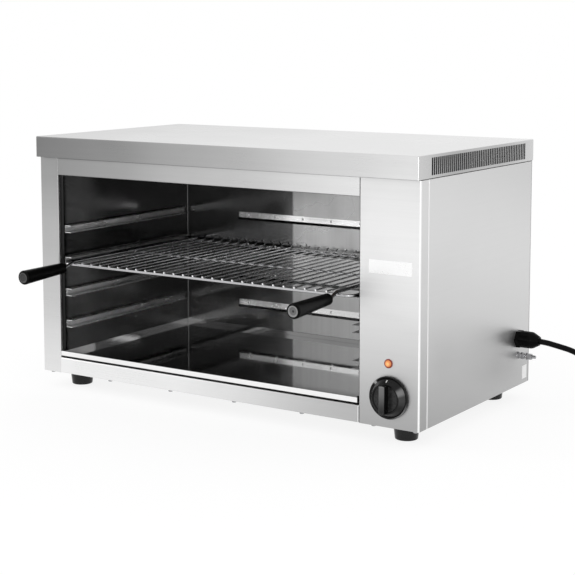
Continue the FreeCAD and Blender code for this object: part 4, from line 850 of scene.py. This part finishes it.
class MELTER_OT_rack_finish(bpy.types.Operator):
    """Give the rack its chrome and its black grips"""
    bl_idname = "melter.rack_finish"
    bl_label = "Rack finish"

    def execute(self, context):
        steel = context.scene.melter_steel
        trim = context.scene.melter_trim
        # The rods darker and the wires paler are painted shade and painted light on one chrome
        rod = finish_plated("rod chrome", steel.rod[:], roughness=(0.18, 0.28))
        paint(["rack_frame", "handle_rods"], rod)
        wire = finish_plated("wire chrome", steel.wire[:], roughness=(0.22, 0.32))
        paint(["rack_wires"], wire)
        grip = finish_moulding("grip moulding", trim.grip_black[:], roughness=(0.32, 0.42),
                               gloss=0.07, dust=0.006)
        paint(like("handle_grip"), grip)
        paint(["handle_end_caps"], finish_caps("cap moulding", trim.cap_grey[:]))
        return {"FINISHED"}


class MELTER_OT_control_finish(bpy.types.Operator):
    """Give the knob, the pilot lamp and the inner electrical pieces their finishes"""
    bl_idname = "melter.control_finish"
    bl_label = "Control finish"

    def execute(self, context):
        steel = context.scene.melter_steel
        trim = context.scene.melter_trim
        knob = finish_knob("knob moulding", trim.knob_black[:], trim.knob_painted_sheen[:])
        paint(["control_knob"], knob)
        paint(["pilot_lens"], finish_lamp("amber lens", trim))
        paint(["pilot_body"], finish_moulding("lamp rim", trim.lamp_red[:]))
        pale = finish_moulding("pale moulding", trim.pale_moulding[:], roughness=(0.4, 0.55))
        paint(["thermostat_body", "terminal_block"], pale)
        paint(["compartment_wiring"], finish_moulding("wire sleeve", trim.wire_brown[:]))
        copper = finish_plated("drawn copper", steel.copper[:], stain=steel.copper_stain[:])
        paint(["thermostat_bulb", "thermostat_capillary"], copper)
        paint(["thermostat_shaft"], finish_plated("shaft zinc", steel.zinc[:]))
        return {"FINISHED"}


class MELTER_OT_fitting_finish(bpy.types.Operator):
    """Give the gland, stud, fasteners, feet, plug and tie their finishes"""
    bl_idname = "melter.fitting_finish"
    bl_label = "Fitting finish"

    def execute(self, context):
        steel = context.scene.melter_steel
        trim = context.scene.melter_trim
        zinc = finish_plated("fastener zinc", steel.zinc[:], roughness=(0.08, 0.16))
        paint(["element_nuts", "earth_stud", "earth_nuts", "casing_screws"], zinc)
        foot = finish_moulding("foot rubber", trim.rubber_black[:], roughness=(0.16, 0.24),
                               bump=0.03, dust=0.02, gloss=0.3)
        paint(like("foot_"), foot)
        gland = finish_moulding("gland moulding", trim.gland_black[:], roughness=(0.25, 0.36),
                                pebble=700.0, gloss=0.05, dust=0.01)
        paint(["cord_gland", "gland_dome_nut", "gland_locknut"], gland)
        plug = finish_moulding("plug rubber", trim.cord_black[:], roughness=(0.4, 0.55))
        paint(["plug_body"], plug)
        paint(["plug_pins"], finish_plated("pin metal", steel.pin[:]))
        paint(["cord_tie"], finish_moulding("tie moulding", trim.tie_grey[:]))
        return {"FINISHED"}


class MELTER_OT_rail_rivets(bpy.types.Operator):
    """Set the rivet heads on the rear rails"""
    bl_idname = "melter.rail_rivets"
    bl_label = "Rail rivets"

    # Thickness of the rail's sheet, and how far down the rail the rivets sit
    rail_sheet = 1.0 * MM
    drop_share = 0.36

    def execute(self, context):
        trim = context.scene.melter_trim
        steel = finish_plated("rivet steel", context.scene.melter_steel.rivet[:],
                              roughness=(0.35, 0.45))
        for rail in like("rear_rail"):
            low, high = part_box(rail)
            face = high.y - self.rail_sheet
            height = high.z - (high.z - low.z) * self.drop_share
            mesh = bmesh.new()
            first = low.x + trim.rivet_margin
            step = (high.x - trim.rivet_margin - first) / (trim.rivet_count - 1)
            for number in range(trim.rivet_count):
                add_dome(mesh, Vector((first + step * number, face, height)), FRONT,
                         trim.rivet_width, trim.rivet_height)
            finished_piece(f"rivets_{rail}", mesh, steel, CASING)
        return {"FINISHED"}


class MELTER_OT_rack_welds(bpy.types.Operator):
    """Set a weld bead where each wire crosses the rack's front and rear rods"""
    bl_idname = "melter.rack_welds"
    bl_label = "Rack welds"

    rise_share = 0.35

    def execute(self, context):
        trim = context.scene.melter_trim
        chrome = finish_plated("weld chrome", context.scene.melter_steel.weld[:],
                               roughness=(0.35, 0.45))
        low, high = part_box("rack_wires")
        frame_low, frame_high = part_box("rack_frame")
        first = low.x + trim.wire_width / 2
        step = (high.x - low.x - trim.wire_width) / (trim.wire_count - 1)
        rows = (frame_low.y + trim.rod_width / 2, frame_high.y - trim.rod_width / 2)
        half = trim.bead_width / 2
        size = Matrix.Diagonal((half, half, trim.bead_width * self.rise_share, 1))
        mesh = bmesh.new()
        for number in range(trim.wire_count):
            for row in rows:
                centre = Vector((first + step * number, row, frame_high.z))
                bmesh.ops.create_icosphere(mesh, subdivisions=1, radius=1.0,
                                           matrix=Matrix.Translation(centre) @ size)
        finished_piece("rack_weld_beads", mesh, chrome, RACK)
        return {"FINISHED"}


class MELTER_OT_bare_plate(bpy.types.Operator):
    """Fix the bare pale plate on the control panel and the bare sticker on the side"""
    bl_idname = "melter.bare_plate"
    bl_label = "Bare plate and sticker"

    bevel_share = 0.4

    def execute(self, context):
        trim = context.scene.melter_trim
        white = trim.plate_white[:]
        low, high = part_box("control_panel")
        left = low.x + trim.plate_inset
        half = trim.plate_height / 2
        plate = finish_moulding("plate lacquer", white, roughness=(0.25, 0.35), bump=0.0,
                                dust=0.0, metallic=1.0)
        self.fix("bare_plate", plate, trim.film,
                 Vector((left, low.y - trim.film, trim.plate_rise - half)),
                 Vector((left + trim.plate_width, low.y, trim.plate_rise + half)))
        low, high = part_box("right_side_panel")
        rear = high.y - trim.sticker_inset
        half = trim.sticker_height / 2
        paper = finish_moulding("sticker paper", white, roughness=(0.5, 0.6), bump=0.02,
                                dust=0.05, metallic=0.9)
        self.fix("bare_sticker", paper, trim.film,
                 Vector((high.x, rear - trim.sticker_width, trim.sticker_rise - half)),
                 Vector((high.x + trim.film, rear, trim.sticker_rise + half)))
        return {"FINISHED"}

    def fix(self, name, material, film, low, high):
        mesh = bmesh.new()
        add_slab(mesh, low, high, bevel=film * self.bevel_share)
        finished_piece(name, mesh, material, CASING)


class MELTER_OT_pointer_paint(bpy.types.Operator):
    """Fill the knob's pointer groove with white paint"""
    bl_idname = "melter.pointer_paint"
    bl_label = "Pointer paint"

    bevel_share = 0.25

    def execute(self, context):
        trim = context.scene.melter_trim
        low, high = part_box("control_knob")
        middle = (low + high) / 2
        white = finish_moulding("pointer white", trim.pointer_white[:], roughness=(0.4, 0.5),
                                dust=0.02)
        mesh = bmesh.new()
        size = Vector((trim.pointer_width, trim.pointer_film, trim.pointer_length))
        add_slab(mesh, -size / 2, size / 2, bevel=trim.pointer_film * self.bevel_share)
        tilt = Matrix.Rotation(-trim.pointer_slope, 4, "X")
        spot = Vector((middle.x, high.y - trim.pointer_lift, middle.z + trim.pointer_reach))
        bmesh.ops.transform(mesh, matrix=Matrix.Translation(spot) @ tilt, verts=mesh.verts)
        finished_piece("pointer_paint", mesh, white, KNOB)
        return {"FINISHED"}


class MELTER_OT_supply_cord(bpy.types.Operator):
    """Lay the supply cord, with its coil, from the gland to the plug"""
    bl_idname = "melter.supply_cord"
    bl_label = "Supply cord"

    # Route in millimetres from the gland's mouth, heights above the worktop
    drop = [(-24, 0, 115), (7, 0, 115), (32, 6, 109), (55, 22, 100), (71, 42, 84), (77, 62, 63),
            (79, 83, 41), (77, 104, 19.5), (73, 131, 6.7), (73, 160, 6.7)]
    tail = [(203, 160, 17.4), (203, 137, 17.4), (209, 112, 17.4), (209, 89, 17.4)]

    def execute(self, context):
        cord = context.scene.melter_cord
        low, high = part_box("gland_dome_nut")
        mouth = Vector((high.x, (low.y + high.y) / 2, (low.z + high.z) / 2))
        ground = Vector((mouth.x, mouth.y, 0.0))
        points = [ground + Vector(spot) * MM for spot in self.drop]
        points += self.coil_points(cord, points[-1])
        points += [ground + Vector(spot) * MM for spot in self.tail]
        curve = bpy.data.curves.new("supply_cord", "CURVE")
        curve.dimensions = "3D"
        curve.bevel_depth = cord.diameter / 2
        curve.bevel_resolution = 5
        curve.resolution_u = 6
        curve.use_fill_caps = True
        spline = curve.splines.new("NURBS")
        spline.points.add(len(points) - 1)
        for knot, spot in zip(spline.points, points):
            knot.co = (*spot, 1.0)
        spline.order_u = 3
        spline.use_endpoint_u = True
        sheath = finish_moulding("cord sheath", context.scene.melter_trim.cord_black[:],
                                 roughness=(0.38, 0.5), pebble=600.0, gloss=0.06, dust=0.02)
        curve.materials.append(sheath)
        piece = bpy.data.objects.new("supply_cord", curve)
        context.scene.collection.objects.link(piece)
        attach(piece, CASING)
        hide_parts("power_cord", "cord_coil", "cord_tail")
        return {"FINISHED"}

    def coil_points(self, cord, entry):
        """Turns that spiral in on the lower layer, climb, and spiral out on the upper."""
        climb = 0.5
        centre = entry + Vector((cord.coil_radius, cord.diameter, 0.0))
        spots = []
        count = round(cord.coil_turns * cord.points_per_turn)
        for number in range(count + 1):
            turn = number / cord.points_per_turn
            radius = cord.coil_radius - cord.coil_pitch * min(turn, cord.coil_turns - turn)
            share = max(0.0, min(1.0, (turn - (cord.coil_turns - climb) / 2) / climb))
            rise = cord.coil_pitch * share ** 2 * (3 - 2 * share)
            angle = pi - 2 * pi * turn
            spots.append(centre + Vector((radius * cos(angle), radius * sin(angle), rise)))
        return spots


class MELTER_PT_panel(bpy.types.Panel):
    """Sizes, colours and steps of the cheese melter"""
    bl_idname = "MELTER_PT_panel"
    bl_label = "Cheese melter"
    bl_space_type = "VIEW_3D"
    bl_region_type = "UI"
    bl_category = "Melter"

    def draw(self, context):
        for operator in OPERATORS:
            self.layout.operator(operator.bl_idname)
        for name in SETTINGS:
            settings = getattr(context.scene, name)
            box = self.layout.box()
            for key in settings.bl_rna.properties.keys():
                if key not in ("name", "rna_type"):
                    box.prop(settings, key)


SETTINGS = {
    "melter_view": MELTER_PG_view,
    "melter_stage": MELTER_PG_stage,
    "melter_steel": MELTER_PG_steel,
    "melter_trim": MELTER_PG_trim,
    "melter_cord": MELTER_PG_cord,
}
OPERATORS = [
    MELTER_OT_camera,
    MELTER_OT_stage,
    MELTER_OT_supply_cord,
    MELTER_OT_casing_finish,
    MELTER_OT_cavity_finish,
    MELTER_OT_rack_finish,
    MELTER_OT_control_finish,
    MELTER_OT_fitting_finish,
    MELTER_OT_rail_rivets,
    MELTER_OT_rack_welds,
    MELTER_OT_bare_plate,
    MELTER_OT_pointer_paint,
]


def register():
    for item in [*SETTINGS.values(), *OPERATORS, MELTER_PT_panel]:
        bpy.utils.register_class(item)
    for name, group in SETTINGS.items():
        setattr(bpy.types.Scene, name, PointerProperty(type=group))


def unregister():
    for name in SETTINGS:
        delattr(bpy.types.Scene, name)
    for item in [MELTER_PT_panel, *reversed(OPERATORS), *reversed(SETTINGS.values())]:
        bpy.utils.unregister_class(item)


def main():
    register()
    make_grain_group()
    make_haze_group()
    make_fade_group()
    make_pebble_group()
    for operator in OPERATORS:
        category, name = operator.bl_idname.split(".")
        getattr(getattr(bpy.ops, category), name)()


if __name__ == "__main__":
    main()
